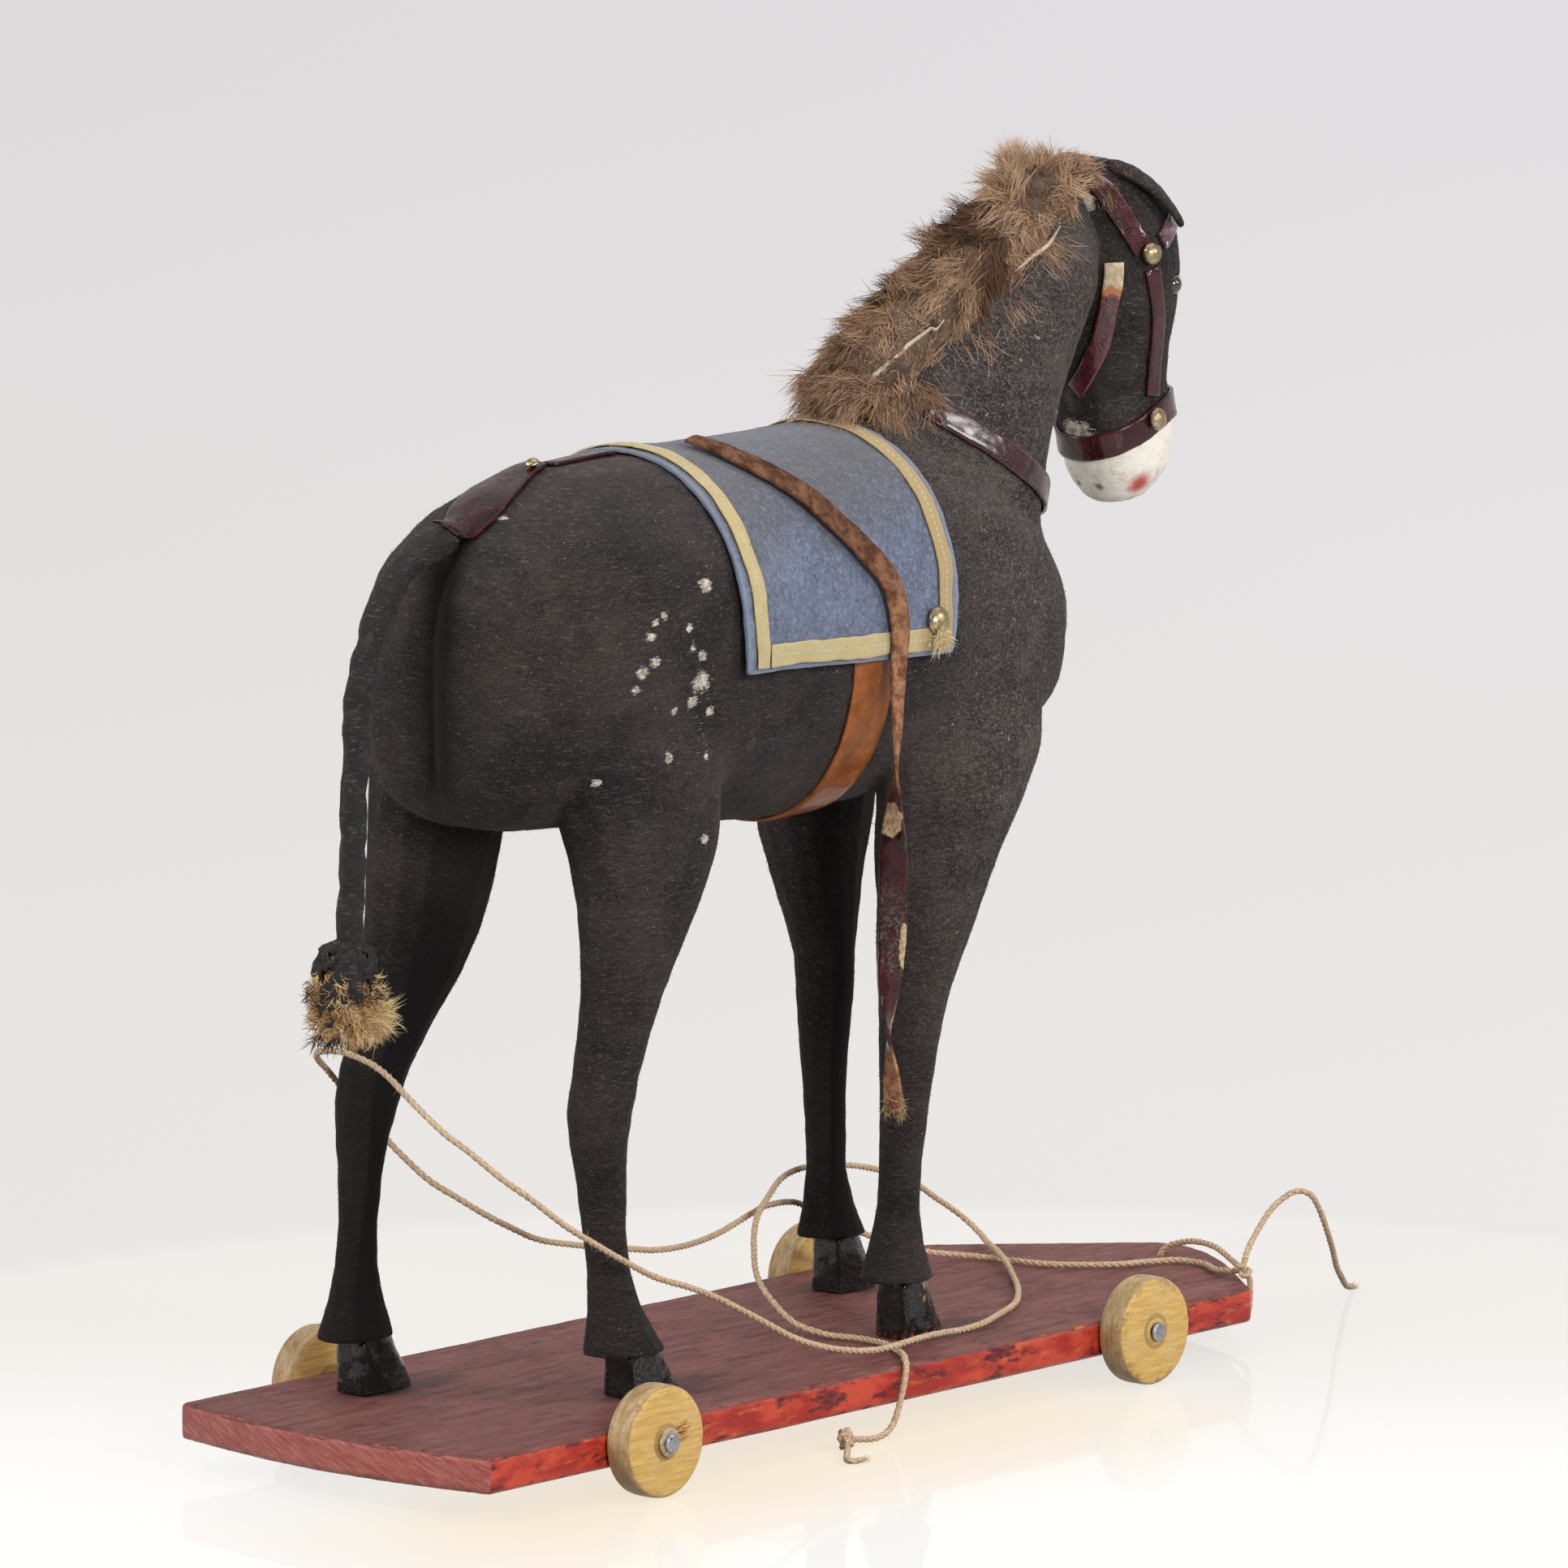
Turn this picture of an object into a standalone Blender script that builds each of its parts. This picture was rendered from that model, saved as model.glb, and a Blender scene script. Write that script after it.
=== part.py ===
"""Flock-covered donkey on a wheeled plank, a pull toy, as separate solids.

Frame: the donkey faces +X, its left side is +Y, +Z is up, and the origin lies on
the floor under the middle of the plank. Heights named h are above the plank's top.
"""
import math

import bmesh
import bpy
import numpy as np
from mathutils import Vector
from mathutils.bvhtree import BVHTree

MM = 0.001

# Clearances
GAP = 0.3 * MM
JOINT_GAP = 0.42 * MM
STRAP_GAP = 0.4 * MM
POLL_STRAP_GAP = 0.7 * MM
BORE_GAP = 0.35 * MM

# Wheels and the nails they turn on
WHEEL_DIAMETER = 35.0 * MM
WHEEL_THICKNESS = 10.0 * MM
WHEEL_EDGE_ROUND = 0.8 * MM
WHEEL_SIDE_GAP = 0.6 * MM
REAR_AXLE_X = -132.8 * MM
FRONT_AXLE_X = 101.2 * MM
NAIL_DIAMETER = 3.0 * MM
NAIL_HEAD_DIAMETER = 6.2 * MM
NAIL_HEAD_HEIGHT = 1.3 * MM
NAIL_DEPTH_IN_WOOD = 22.0 * MM
NAIL_HEAD_PLAY = 0.5 * MM
WHEEL_BORE_PLAY = 0.5 * MM
HUB_WASHER_DIAMETER = 9.0 * MM
HUB_WASHER_THICKNESS = 0.8 * MM

# Plank
AXLE_BELOW_TOP = 4.0 * MM
BOARD_THICKNESS = 11.5 * MM
BOARD_WIDTH = 130.0 * MM
BOARD_REAR_X = -201.0 * MM
BOARD_REAR_BOW = 8.0 * MM
BOARD_RIGHT_CORNER_X = 163.0 * MM
BOARD_LEFT_CORNER_X = 152.0 * MM
BOARD_NOSE_X = 208.0 * MM
BOARD_EDGE_ROUND = 1.2 * MM
CORD_HOLE_DIAMETER = 4.6 * MM
CORD_HOLE_X = 189.4 * MM
CORD_HOLE_Y = -4.1 * MM
BOARD_TOP = WHEEL_DIAMETER / 2 + AXLE_BELOW_TOP

# Stance
LEG_SPREAD = 33.0 * MM

# Hooves
FRONT_HOOF_LENGTH = 24.0 * MM
REAR_HOOF_LENGTH = 27.0 * MM
HOOF_TOP_SETBACK = 9.5 * MM
HOOF_WIDTH = 13.0 * MM
HOOF_HEEL_BEHIND_LEG = 2.8 * MM
HOOF_UNDER_RIM = 0.6 * MM
PEG_DIAMETER = 7.0 * MM
PEG_LENGTH = 8.0 * MM

# Screws that hold the hooves from under the plank
SCREW_DIAMETER = 3.0 * MM
SCREW_HEAD_DIAMETER = 6.4 * MM
SCREW_HEAD_HEIGHT = 2.2 * MM
SCREW_IN_HOOF = 12.0 * MM
SCREW_AHEAD_OF_HEEL = 8.0 * MM

# Saddle cloth and its ribbon
CLOTH_THICKNESS = 1.6 * MM
CLOTH_RIDGE_REAR_X = -72.0 * MM
CLOTH_SIDE_REAR_X = -69.0 * MM
CLOTH_HEM_REAR_X = -70.0 * MM
CLOTH_RIDGE_FRONT_X = 26.0 * MM
CLOTH_SIDE_FRONT_X = 35.0 * MM
CLOTH_HEM_FRONT_X = 30.5 * MM
CLOTH_HEM_ANGLE = 98.0
CLOTH_FRONT_DROP = 4.5
CLOTH_BACK_LIFT = 0.9 * MM
CLOTH_HEM_LIFT = 1.6 * MM
CLOTH_HEM_WAVE = 1.2 * MM
RIBBON_WIDTH = 6.3 * MM
RIBBON_THICKNESS = 0.6 * MM
RIBBON_INSET = 3.4 * MM
RIBBON_GAP = 0.45 * MM

# Harness leather
GIRTH_WIDTH = 19.0 * MM
GIRTH_THICKNESS = 1.1 * MM
STRAP_THICKNESS = 1.3 * MM
LOOSE_STRAP_WIDTH = 8.6 * MM
COLLAR_WIDTH = 8.5 * MM
NOSEBAND_WIDTH = 8.4 * MM
CHEEK_STRAP_WIDTH = 6.2 * MM
THROAT_STRAP_WIDTH = 6.4 * MM
HEADSTALL_WIDTH = 7.4 * MM
BROW_BAND_WIDTH = 6.0 * MM
CRUPPER_STRAP_WIDTH = 5.5 * MM

# Brass domes
STUD_DIAMETER = 10.0 * MM
STUD_HEIGHT = 3.2 * MM
STUD_PIN_DIAMETER = 1.6 * MM
STUD_PIN_LENGTH = 7.0 * MM
BRIDLE_STUD_DIAMETER = 8.0 * MM
BRIDLE_STUD_HEIGHT = 2.8 * MM
CRUPPER_STUD_DIAMETER = 5.0 * MM
CRUPPER_STUD_HEIGHT = 1.8 * MM

# Head, tail and fur
EYE_DIAMETER = 7.0 * MM
TAIL_ROOT_DIAMETER = 11.0 * MM
TAIL_DIAMETER = 8.6 * MM
CORD_DIAMETER = 2.1 * MM
KNOT_DIAMETER = 6.0 * MM

# Torso stations: x, underside h, back h, half width
TORSO = (
    (-157.0, 202.0, 237.0, 13.0, 2.6),
    (-155.0, 190.0, 248.0, 25.5, 2.9),
    (-150.5, 183.0, 258.0, 33.5, 3.0),
    (-142.5, 179.0, 268.0, 39.5, 2.8),
    (-128.0, 176.5, 278.0, 45.0, 2.4),
    (-106.0, 175.0, 286.0, 49.0, 2.15),
    (-80.0, 173.0, 287.5, 49.0, 2.15),
    (-48.0, 170.0, 286.8, 47.5, 2.15),
    (-14.0, 167.5, 286.5, 46.5, 2.15),
    (20.0, 168.5, 288.0, 46.0, 2.15),
    (50.0, 172.0, 290.0, 45.0, 2.15),
    (74.0, 174.5, 284.0, 42.0, 2.15),
    (93.0, 178.5, 270.0, 38.5, 2.15),
    (106.0, 184.5, 256.0, 33.0, 2.15),
    (114.5, 193.0, 246.0, 26.0, 2.15),
    (119.5, 203.0, 236.0, 17.0, 2.15),
    (122.0, 212.0, 227.0, 8.0, 2.15),
)

# Neck stations: crest x and h, throat x and h, half width
NECK = (
    (22.0, 284.0, 96.0, 205.0, 33.0),
    (40.0, 301.0, 108.0, 232.0, 32.0),
    (58.0, 315.0, 113.0, 256.0, 29.5),
    (76.0, 326.0, 117.0, 273.0, 26.5),
    (95.0, 337.0, 124.0, 287.0, 23.5),
    (113.0, 347.0, 133.0, 300.5, 20.5),
    (130.0, 355.0, 144.0, 315.0, 17.0),
    (141.0, 358.5, 150.0, 329.0, 11.5),
)

# Head stations: h, middle x, half length, half width
HEAD = (
    (251.5, 169.5, 6.0, 5.0),
    (253.6, 170.0, 10.5, 8.5),
    (257.5, 170.5, 14.0, 12.0),
    (263.0, 171.0, 17.5, 14.8),
    (270.0, 171.0, 19.3, 16.0),
    (278.0, 170.0, 20.3, 16.6),
    (290.0, 168.5, 19.2, 15.6),
    (303.0, 168.0, 20.0, 16.6),
    (315.0, 168.8, 21.6, 18.4),
    (327.0, 169.5, 22.2, 19.0),
    (338.0, 169.0, 21.8, 18.4),
    (347.0, 167.0, 20.6, 16.6),
    (354.0, 163.0, 18.6, 14.4),
    (360.0, 157.0, 15.0, 11.4),
    (363.4, 152.5, 10.0, 7.4),
    (364.8, 150.0, 5.0, 3.6),
)

# Leg stations: h, x, half length, half width, y
LEG_FRONT_RIGHT = (
    (212.0, 72.0, 22.0, 8.0, 22.0),
    (198.0, 67.0, 33.0, 14.0, 26.5),
    (182.0, 56.5, 36.5, 16.4, 31.0),
    (168.5, 49.5, 31.2, 15.8, 33.0),
    (154.5, 43.8, 26.4, 14.9, 33.0),
    (139.5, 39.7, 21.2, 13.5, 33.0),
    (125.5, 35.8, 17.2, 12.2, 33.0),
    (110.5, 31.8, 12.0, 10.8, 33.0),
    (94.5, 29.0, 9.3, 9.5, 33.0),
    (74.5, 27.0, 7.6, 7.9, 33.0),
    (56.5, 25.3, 6.5, 6.6, 33.0),
    (42.0, 24.0, 6.8, 6.5, 33.0),
    (29.5, 23.0, 9.4, 7.8, 33.0),
    (19.0, 23.2, 12.6, 10.6, 33.0),
)
LEG_FRONT_LEFT = (
    (208.0, 62.0, 18.0, 9.0, 24.0),
    (194.0, 60.5, 25.0, 14.5, 27.0),
    (176.0, 59.5, 24.5, 15.6, 31.5),
    (154.5, 59.4, 22.2, 14.9, 33.0),
    (139.5, 60.1, 17.2, 13.5, 33.0),
    (125.5, 62.0, 12.6, 12.2, 33.0),
    (110.5, 64.2, 8.6, 10.8, 33.0),
    (94.5, 64.3, 7.7, 9.5, 33.0),
    (74.5, 64.0, 6.3, 7.9, 33.0),
    (56.5, 64.6, 5.5, 6.6, 33.0),
    (41.5, 65.0, 5.9, 6.4, 33.0),
    (29.5, 66.0, 8.6, 7.8, 33.0),
    (19.0, 67.6, 12.6, 10.6, 33.0),
)
LEG_REAR_RIGHT = (
    (232.0, -104.0, 20.0, 9.0, 20.0),
    (216.0, -101.0, 33.0, 18.0, 26.0),
    (200.0, -98.0, 35.5, 20.5, 29.0),
    (183.5, -96.2, 32.4, 19.0, 31.5),
    (168.5, -95.6, 29.6, 16.9, 33.0),
    (154.5, -97.6, 23.9, 15.0, 33.0),
    (140.5, -101.6, 18.4, 13.3, 33.0),
    (127.5, -105.6, 14.2, 12.1, 33.0),
    (113.5, -109.8, 11.0, 11.0, 33.0),
    (101.5, -113.5, 9.9, 10.2, 33.0),
    (90.5, -116.4, 10.4, 10.0, 33.0),
    (80.5, -116.8, 8.9, 9.0, 33.0),
    (70.5, -115.8, 7.9, 7.6, 33.0),
    (54.5, -114.4, 6.7, 6.4, 33.0),
    (40.5, -112.2, 6.9, 6.4, 33.0),
    (28.5, -109.6, 8.9, 7.9, 33.0),
    (18.5, -106.8, 12.4, 10.4, 33.0),
    (14.5, -105.4, 14.4, 11.2, 33.0),
)
LEG_REAR_LEFT = (
    (232.0, -116.0, 18.0, 9.0, 20.0),
    (216.0, -116.0, 28.0, 18.0, 26.0),
    (200.0, -117.0, 28.0, 20.5, 29.0),
    (183.5, -118.0, 25.6, 19.0, 31.5),
    (168.5, -119.0, 25.2, 16.9, 33.0),
    (154.5, -121.5, 24.2, 15.0, 33.0),
    (140.5, -124.8, 22.4, 13.3, 33.0),
    (127.5, -130.4, 18.6, 12.1, 33.0),
    (113.5, -138.6, 14.0, 11.0, 33.0),
    (101.5, -146.2, 11.6, 10.2, 33.0),
    (90.5, -150.4, 9.4, 10.0, 33.0),
    (80.5, -152.2, 6.8, 9.0, 33.0),
    (70.5, -153.1, 5.6, 7.6, 33.0),
    (54.5, -154.3, 5.4, 6.4, 33.0),
    (40.5, -155.6, 6.6, 6.4, 33.0),
    (29.5, -155.8, 9.4, 7.9, 33.0),
    (18.0, -155.8, 13.4, 10.6, 33.0),
)

# Mane stations along the crest: x, h, fur above, fur below, half width
MANE = (
    (31.0, 292.0, 7.0, 10.0, 8.0),
    (35.0, 297.0, 16.0, 14.0, 13.0),
    (44.0, 304.0, 15.5, 16.0, 15.0),
    (58.0, 315.0, 13.0, 17.0, 15.5),
    (76.0, 326.0, 12.0, 17.0, 15.5),
    (95.0, 337.0, 12.5, 17.0, 15.0),
    (112.0, 346.5, 13.0, 16.0, 14.0),
    (125.0, 353.0, 14.0, 13.0, 12.5),
    (134.0, 356.5, 9.0, 10.0, 9.5),
    (139.0, 358.0, 4.0, 6.0, 5.0),
)

# Tail route: x, y, h
TAIL = (
    (-139.0, 2.0, 266.5),
    (-147.5, 3.0, 267.5),
    (-159.0, 4.0, 263.0),
    (-169.6, 4.0, 254.5),
    (-178.8, 4.0, 239.5),
    (-183.8, 4.0, 222.0),
    (-185.5, 4.0, 200.0),
    (-186.8, 4.0, 173.0),
    (-188.5, 4.0, 140.0),
)

# Tail tuft stations below the tail: h, x, radius
TUFT = (
    (152.0, -188.2, 5.6),
    (148.0, -188.4, 9.0),
    (140.0, -189.0, 12.5),
    (128.0, -189.5, 13.5),
    (118.0, -190.0, 11.5),
    (112.0, -190.5, 7.5),
)

# Hanging part of the loose strap: x shift, drop, share of the full width, twist in degrees
LOOSE_STRAP_HANGING = (
    (-0.4, 5.0, 0.78, 50.0),
    (-0.8, 10.5, 0.74, 54.0),
    (-0.8, 16.5, 0.68, 59.0),
    (-0.8, 22.5, 0.62, 66.0),
    (-1.2, 28.5, 0.58, 76.0),
    (-1.4, 34.0, 0.60, 90.0),
    (-1.8, 39.5, 0.66, 107.0),
    (-2.2, 45.0, 0.76, 124.0),
    (-2.2, 50.5, 0.88, 141.0),
    (-2.0, 56.0, 0.97, 157.0),
    (-1.9, 62.0, 1.02, 170.0),
    (-1.9, 69.0, 1.03, 178.0),
    (-2.0, 77.0, 1.04, 180.0),
    (-2.2, 85.0, 1.03, 182.0),
    (-2.5, 93.0, 1.00, 187.0),
    (-3.0, 99.5, 0.95, 198.0),
    (-3.4, 105.0, 0.88, 213.0),
    (-3.6, 110.0, 0.78, 230.0),
    (-3.4, 114.5, 0.66, 250.0),
    (-2.9, 119.0, 0.58, 270.0),
    (-2.3, 123.5, 0.58, 290.0),
    (-1.9, 128.0, 0.66, 308.0),
    (-1.7, 133.0, 0.76, 322.0),
    (-1.6, 138.0, 0.72, 330.0),
    (-1.5, 143.0, 0.58, 334.0),
)

# Pull cord: short loose end, loop through the plank, and the long run
CORD_END_ROUTE = (
    (172.6, -54.2, 28.2),
    (177.0, -52.2, 31.0),
    (184.0, -50.0, 35.2),
    (190.0, -50.0, 40.6),
    (195.0, -51.0, 44.2),
    (200.0, -53.5, 46.8),
    (205.0, -55.5, 45.0),
    (211.0, -54.5, 39.0),
    (218.0, -52.0, 31.0),
    (228.0, -46.5, 22.5),
    (237.0, -41.0, 15.0),
    (248.0, -34.5, 8.8),
    (258.0, -28.5, 4.0),
    (268.0, -23.0, 1.4),
)
CORD_LOOP_ROUTE = (
    (173.7, -51.9, 24.6),
    (178.3, -44.4, 25.6),
    (184.5, -32.0, 27.8),
    (188.6, -20.0, 27.6),
    (190.2, -11.4, 25.8),
    (190.0, -6.6, 23.8),
    (189.5, -4.4, 20.8),
    (189.4, -4.0, 16.0),
    (189.4, -4.1, 11.2),
    (189.2, -5.2, 8.6),
    (188.8, -9.0, 7.7),
    (187.9, -17.0, 7.6),
    (185.9, -30.0, 7.8),
    (181.6, -42.0, 8.0),
    (176.8, -51.0, 8.6),
    (175.0, -53.8, 11.0),
    (174.4, -54.9, 15.5),
    (173.4, -55.6, 21.8),
)
CORD_RUN_ROUTE = (
    (170.3, -51.0, 24.2),
    (172.5, -42.0, 23.3),
    (179.5, -31.0, 22.9),
    (178.5, -21.0, 22.9),
    (170.0, -15.5, 22.9),
    (160.0, -11.0, 22.9),
    (150.0, -1.0, 22.9),
    (144.0, 10.0, 22.9),
    (142.0, 24.0, 22.9),
    (138.0, 35.0, 23.2),
    (123.0, 43.0, 26.0),
    (102.0, 49.5, 33.9),
    (82.0, 49.0, 42.5),
    (66.0, 46.5, 49.3),
    (48.0, 42.0, 51.7),
    (34.0, 38.0, 51.1),
    (12.0, 32.0, 48.7),
    (-10.0, 26.0, 48.6),
    (-29.0, 22.0, 50.2),
    (-44.0, 20.0, 52.9),
    (-68.0, 18.0, 57.6),
    (-88.0, 18.0, 62.2),
    (-100.0, 19.0, 67.6),
    (-109.0, 21.0, 72.5),
    (-118.0, 25.0, 78.8),
    (-124.0, 31.0, 84.3),
    (-127.0, 38.0, 90.4),
    (-130.0, 45.0, 97.5),
    (-137.0, 50.0, 107.5),
    (-150.0, 49.0, 119.6),
    (-163.0, 42.0, 127.0),
    (-171.0, 32.0, 131.0),
    (-172.5, 22.0, 132.0),
    (-172.0, 12.0, 130.0),
    (-173.0, 3.0, 127.0),
    (-174.0, -8.0, 120.5),
    (-173.0, -20.0, 112.3),
    (-169.0, -28.0, 106.0),
    (-164.0, -36.0, 98.5),
    (-157.0, -42.0, 91.7),
    (-147.0, -46.0, 83.1),
    (-137.0, -48.0, 76.7),
    (-121.0, -48.0, 68.1),
    (-106.0, -47.0, 61.0),
    (-90.0, -46.0, 55.6),
    (-76.0, -46.0, 50.0),
    (-61.0, -48.5, 42.0),
    (-45.0, -52.0, 33.2),
    (-28.0, -54.5, 27.9),
    (-11.0, -55.5, 25.6),
    (12.0, -52.0, 25.3),
    (28.0, -47.5, 24.0),
    (40.0, -45.0, 22.9),
    (53.0, -43.5, 22.9),
    (66.0, -38.5, 22.9),
    (83.0, -31.0, 22.9),
    (95.0, -23.0, 22.9),
    (109.0, -11.0, 22.9),
    (121.0, 1.0, 23.1),
    (132.0, 13.0, 24.4),
    (142.0, 25.5, 25.4),
    (153.0, 39.0, 25.0),
    (161.0, 50.0, 26.4),
    (159.5, 56.5, 31.2),
    (149.0, 58.0, 38.1),
    (137.0, 57.0, 44.6),
    (116.0, 54.0, 52.3),
    (94.0, 50.0, 57.5),
    (70.0, 46.5, 60.3),
    (54.0, 42.0, 59.7),
    (40.0, 36.0, 55.8),
    (27.0, 29.0, 52.0),
    (13.0, 18.0, 46.1),
    (1.0, 5.0, 37.6),
    (2.0, -7.0, 27.0),
    (6.0, -18.0, 23.2),
    (9.0, -30.0, 22.9),
    (7.5, -42.0, 22.9),
    (2.0, -52.0, 22.9),
    (-4.0, -60.0, 22.9),
    (-7.5, -63.0, 23.0),
    (-10.3, -66.2, 22.3),
    (-12.6, -67.6, 18.0),
    (-15.5, -67.9, 10.5),
    (-19.5, -67.9, 3.8),
    (-27.0, -68.5, 1.6),
    (-37.4, -68.0, 2.6),
)
FRONT_KNOT_AT = (171.0, -54.5, 24.8)
END_KNOT_AT = (-41.0, -67.5, 3.1)


def remove_everything():
    for item in list(bpy.data.objects):
        bpy.data.objects.remove(item, do_unlink=True)


def material(name, colour, roughness, metallic=0.0):
    made = bpy.data.materials.new(name)
    made.use_nodes = True
    shader = made.node_tree.nodes["Principled BSDF"]
    shader.inputs["Base Color"].default_value = (*colour, 1.0)
    shader.inputs["Roughness"].default_value = roughness
    shader.inputs["Metallic"].default_value = metallic
    made.diffuse_color = (*colour, 1.0)
    return made


def make_materials():
    return {
        "flock": material("dark_flock", (0.055, 0.048, 0.045), 0.95),
        "fur": material("brown_fur", (0.20, 0.12, 0.07), 0.9),
        "board": material("red_paint", (0.22, 0.06, 0.055), 0.6),
        "wheel": material("bare_wood", (0.55, 0.36, 0.16), 0.7),
        "steel": material("nail_steel", (0.35, 0.35, 0.36), 0.4, 1.0),
        "hoof": material("black_enamel", (0.01, 0.01, 0.012), 0.15),
        "maroon": material("maroon_leather", (0.12, 0.02, 0.03), 0.3),
        "brown": material("brown_leather", (0.18, 0.08, 0.05), 0.6),
        "tan": material("tan_leather", (0.42, 0.17, 0.05), 0.5),
        "cloth": material("blue_felt", (0.14, 0.17, 0.25), 0.95),
        "ribbon": material("gold_ribbon", (0.60, 0.48, 0.20), 0.6),
        "brass": material("old_brass", (0.55, 0.42, 0.18), 0.35, 1.0),
        "glass": material("dark_glass", (0.02, 0.012, 0.01), 0.05),
        "twine": material("jute_twine", (0.45, 0.32, 0.18), 0.9),
        "jute": material("jute_fibre", (0.50, 0.33, 0.16), 0.9),
        "tail": material("black_leather", (0.025, 0.022, 0.022), 0.7),
    }


def spot(x, y, height):
    """A point given in millimetres, its height taken above the plank's top."""
    return Vector((x * MM, y * MM, BOARD_TOP + height * MM))


def add_object(name, shape, finish, smooth=True):
    mesh = bpy.data.meshes.new(name)
    bmesh.ops.recalc_face_normals(shape, faces=shape.faces)
    shape.to_mesh(mesh)
    shape.free()
    if smooth:
        mesh.shade_smooth()
        mesh.set_sharp_from_angle(angle=math.radians(40))
    made = bpy.data.objects.new(name, mesh)
    bpy.context.scene.collection.objects.link(made)
    if finish is not None:
        mesh.materials.append(finish)
    return made


def as_cutter(item):
    item.hide_render = True
    item.display_type = "WIRE"
    return item


def cut(item, *cutters):
    for number, cutter in enumerate(cutters):
        step = item.modifiers.new("cut_%d_%s" % (number, cutter.name), "BOOLEAN")
        step.operation = "DIFFERENCE"
        step.solver = "EXACT"
        step.object = cutter


def smooth_rows(rows, steps):
    """Rows of numbers read from a smooth curve through the given rows."""
    table = np.array(rows, dtype=float)
    ends = np.vstack([2 * table[0] - table[1], table, 2 * table[-1] - table[-2]])
    out = []
    for i in range(len(table) - 1):
        a, b, c, d = ends[i:i + 4]
        for k in range(steps):
            t = k / steps
            out.append(0.5 * (2 * b + (c - a) * t + (2 * a - 5 * b + 4 * c - d) * t ** 2
                              + (3 * b - a - 3 * c + d) * t ** 3))
    out.append(table[-1])
    return [tuple(row) for row in out]


def ellipse_ring(centre, side, up, half_side, half_up, count, power=2.0, half_down=None, taper=0.0):
    ring = []
    for i in range(count):
        angle = 2 * math.pi * i / count
        c = math.cos(angle)
        s = math.sin(angle)
        reach = half_up
        if half_down is not None and s < 0:
            reach = half_down
        along = math.copysign(abs(c) ** (2 / power), c) * half_side * (1.0 - taper * s)
        across = math.copysign(abs(s) ** (2 / power), s) * reach
        ring.append(centre + side * along + up * across)
    return ring


def loft_shape(rings, closed=False):
    """A closed skin through rings of equal count, capped unless it is closed on itself."""
    shape = bmesh.new()
    rows = [[shape.verts.new(point) for point in ring] for ring in rings]
    pairs = list(zip(rows, rows[1:]))
    if closed:
        pairs.append((rows[-1], rows[0]))
    for lower, upper in pairs:
        for i in range(len(lower)):
            j = (i + 1) % len(lower)
            shape.faces.new((lower[i], lower[j], upper[j], upper[i]))
    if not closed:
        shape.faces.new(rows[0][::-1])
        shape.faces.new(rows[-1])
    return shape


def grown(item, gap, name):
    """A cutter a little larger than an object, so that what it cuts keeps a gap."""
    shape = bmesh.new()
    shape.from_mesh(item.data)
    shape.normal_update()
    moves = [vert.normal * gap for vert in shape.verts]
    for vert, move in zip(shape.verts, moves):
        vert.co += move
    return as_cutter(add_object(name, shape, None))


def lathe(name, profile, finish, centre, axis, count=24):
    """A turned solid: the profile is (radius, distance along the axis)."""
    axis = axis.normalized()
    side = axis.orthogonal().normalized()
    other = axis.cross(side)
    shape = bmesh.new()
    rows = []
    for radius, along in profile:
        if radius == 0:
            rows.append([shape.verts.new(centre + axis * along)])
            continue
        ring = []
        for i in range(count):
            angle = 2 * math.pi * i / count
            out = side * math.cos(angle) + other * math.sin(angle)
            ring.append(shape.verts.new(centre + axis * along + out * radius))
        rows.append(ring)
    for lower, upper in zip(rows, rows[1:]):
        for i in range(count):
            j = (i + 1) % count
            if len(lower) == 1:
                shape.faces.new((lower[0], upper[j], upper[i]))
            elif len(upper) == 1:
                shape.faces.new((lower[i], lower[j], upper[0]))
            else:
                shape.faces.new((lower[i], lower[j], upper[j], upper[i]))
    for row in (rows[0], rows[-1]):
        if len(row) > 1:
            shape.faces.new(row)
    return add_object(name, shape, finish)


def rod_cutter(name, start, end, diameter, count=16):
    length = (end - start).length
    profile = ((diameter / 2, 0.0), (diameter / 2, length))
    return as_cutter(lathe(name, profile, None, start, end - start, count))


class Skin:
    """The outside of one or more solids, to lay straps and cloth on."""

    def __init__(self, *items):
        self.trees = []
        for item in items:
            shape = bmesh.new()
            shape.from_mesh(item.data)
            self.trees.append(BVHTree.FromBMesh(shape))
            shape.free()

    def outward(self, start, direction):
        """The farthest surface met from a point inside."""
        best = None
        for tree in self.trees:
            point = start
            for _ in range(6):
                hit, normal, _, _ = tree.ray_cast(point, direction)
                if hit is None:
                    break
                if best is None or (hit - start).length > (best[0] - start).length:
                    best = (hit, normal if normal.dot(direction) > 0 else -normal)
                point = hit + direction * 0.02 * MM
        return best

    def inward(self, point, normal, reach=25 * MM):
        """The first surface met coming in from outside, near a point on the skin."""
        best = None
        start = point + normal * reach
        for tree in self.trees:
            hit, _, _, _ = tree.ray_cast(start, -normal, 2 * reach)
            if hit is not None and (best is None or (hit - start).length < (best - start).length):
                best = hit
        return best


def softened(vectors, passes, closed):
    """Vectors averaged with their neighbours, so that a strap does not kink."""
    for _ in range(passes):
        last = len(vectors) - 1
        fresh = []
        for i, item in enumerate(vectors):
            before = vectors[i - 1] if i > 0 or closed else item
            after = vectors[(i + 1) % len(vectors)] if i < last or closed else item
            fresh.append(before * 0.25 + item * 0.5 + after * 0.25)
        vectors = fresh
    return vectors


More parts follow.
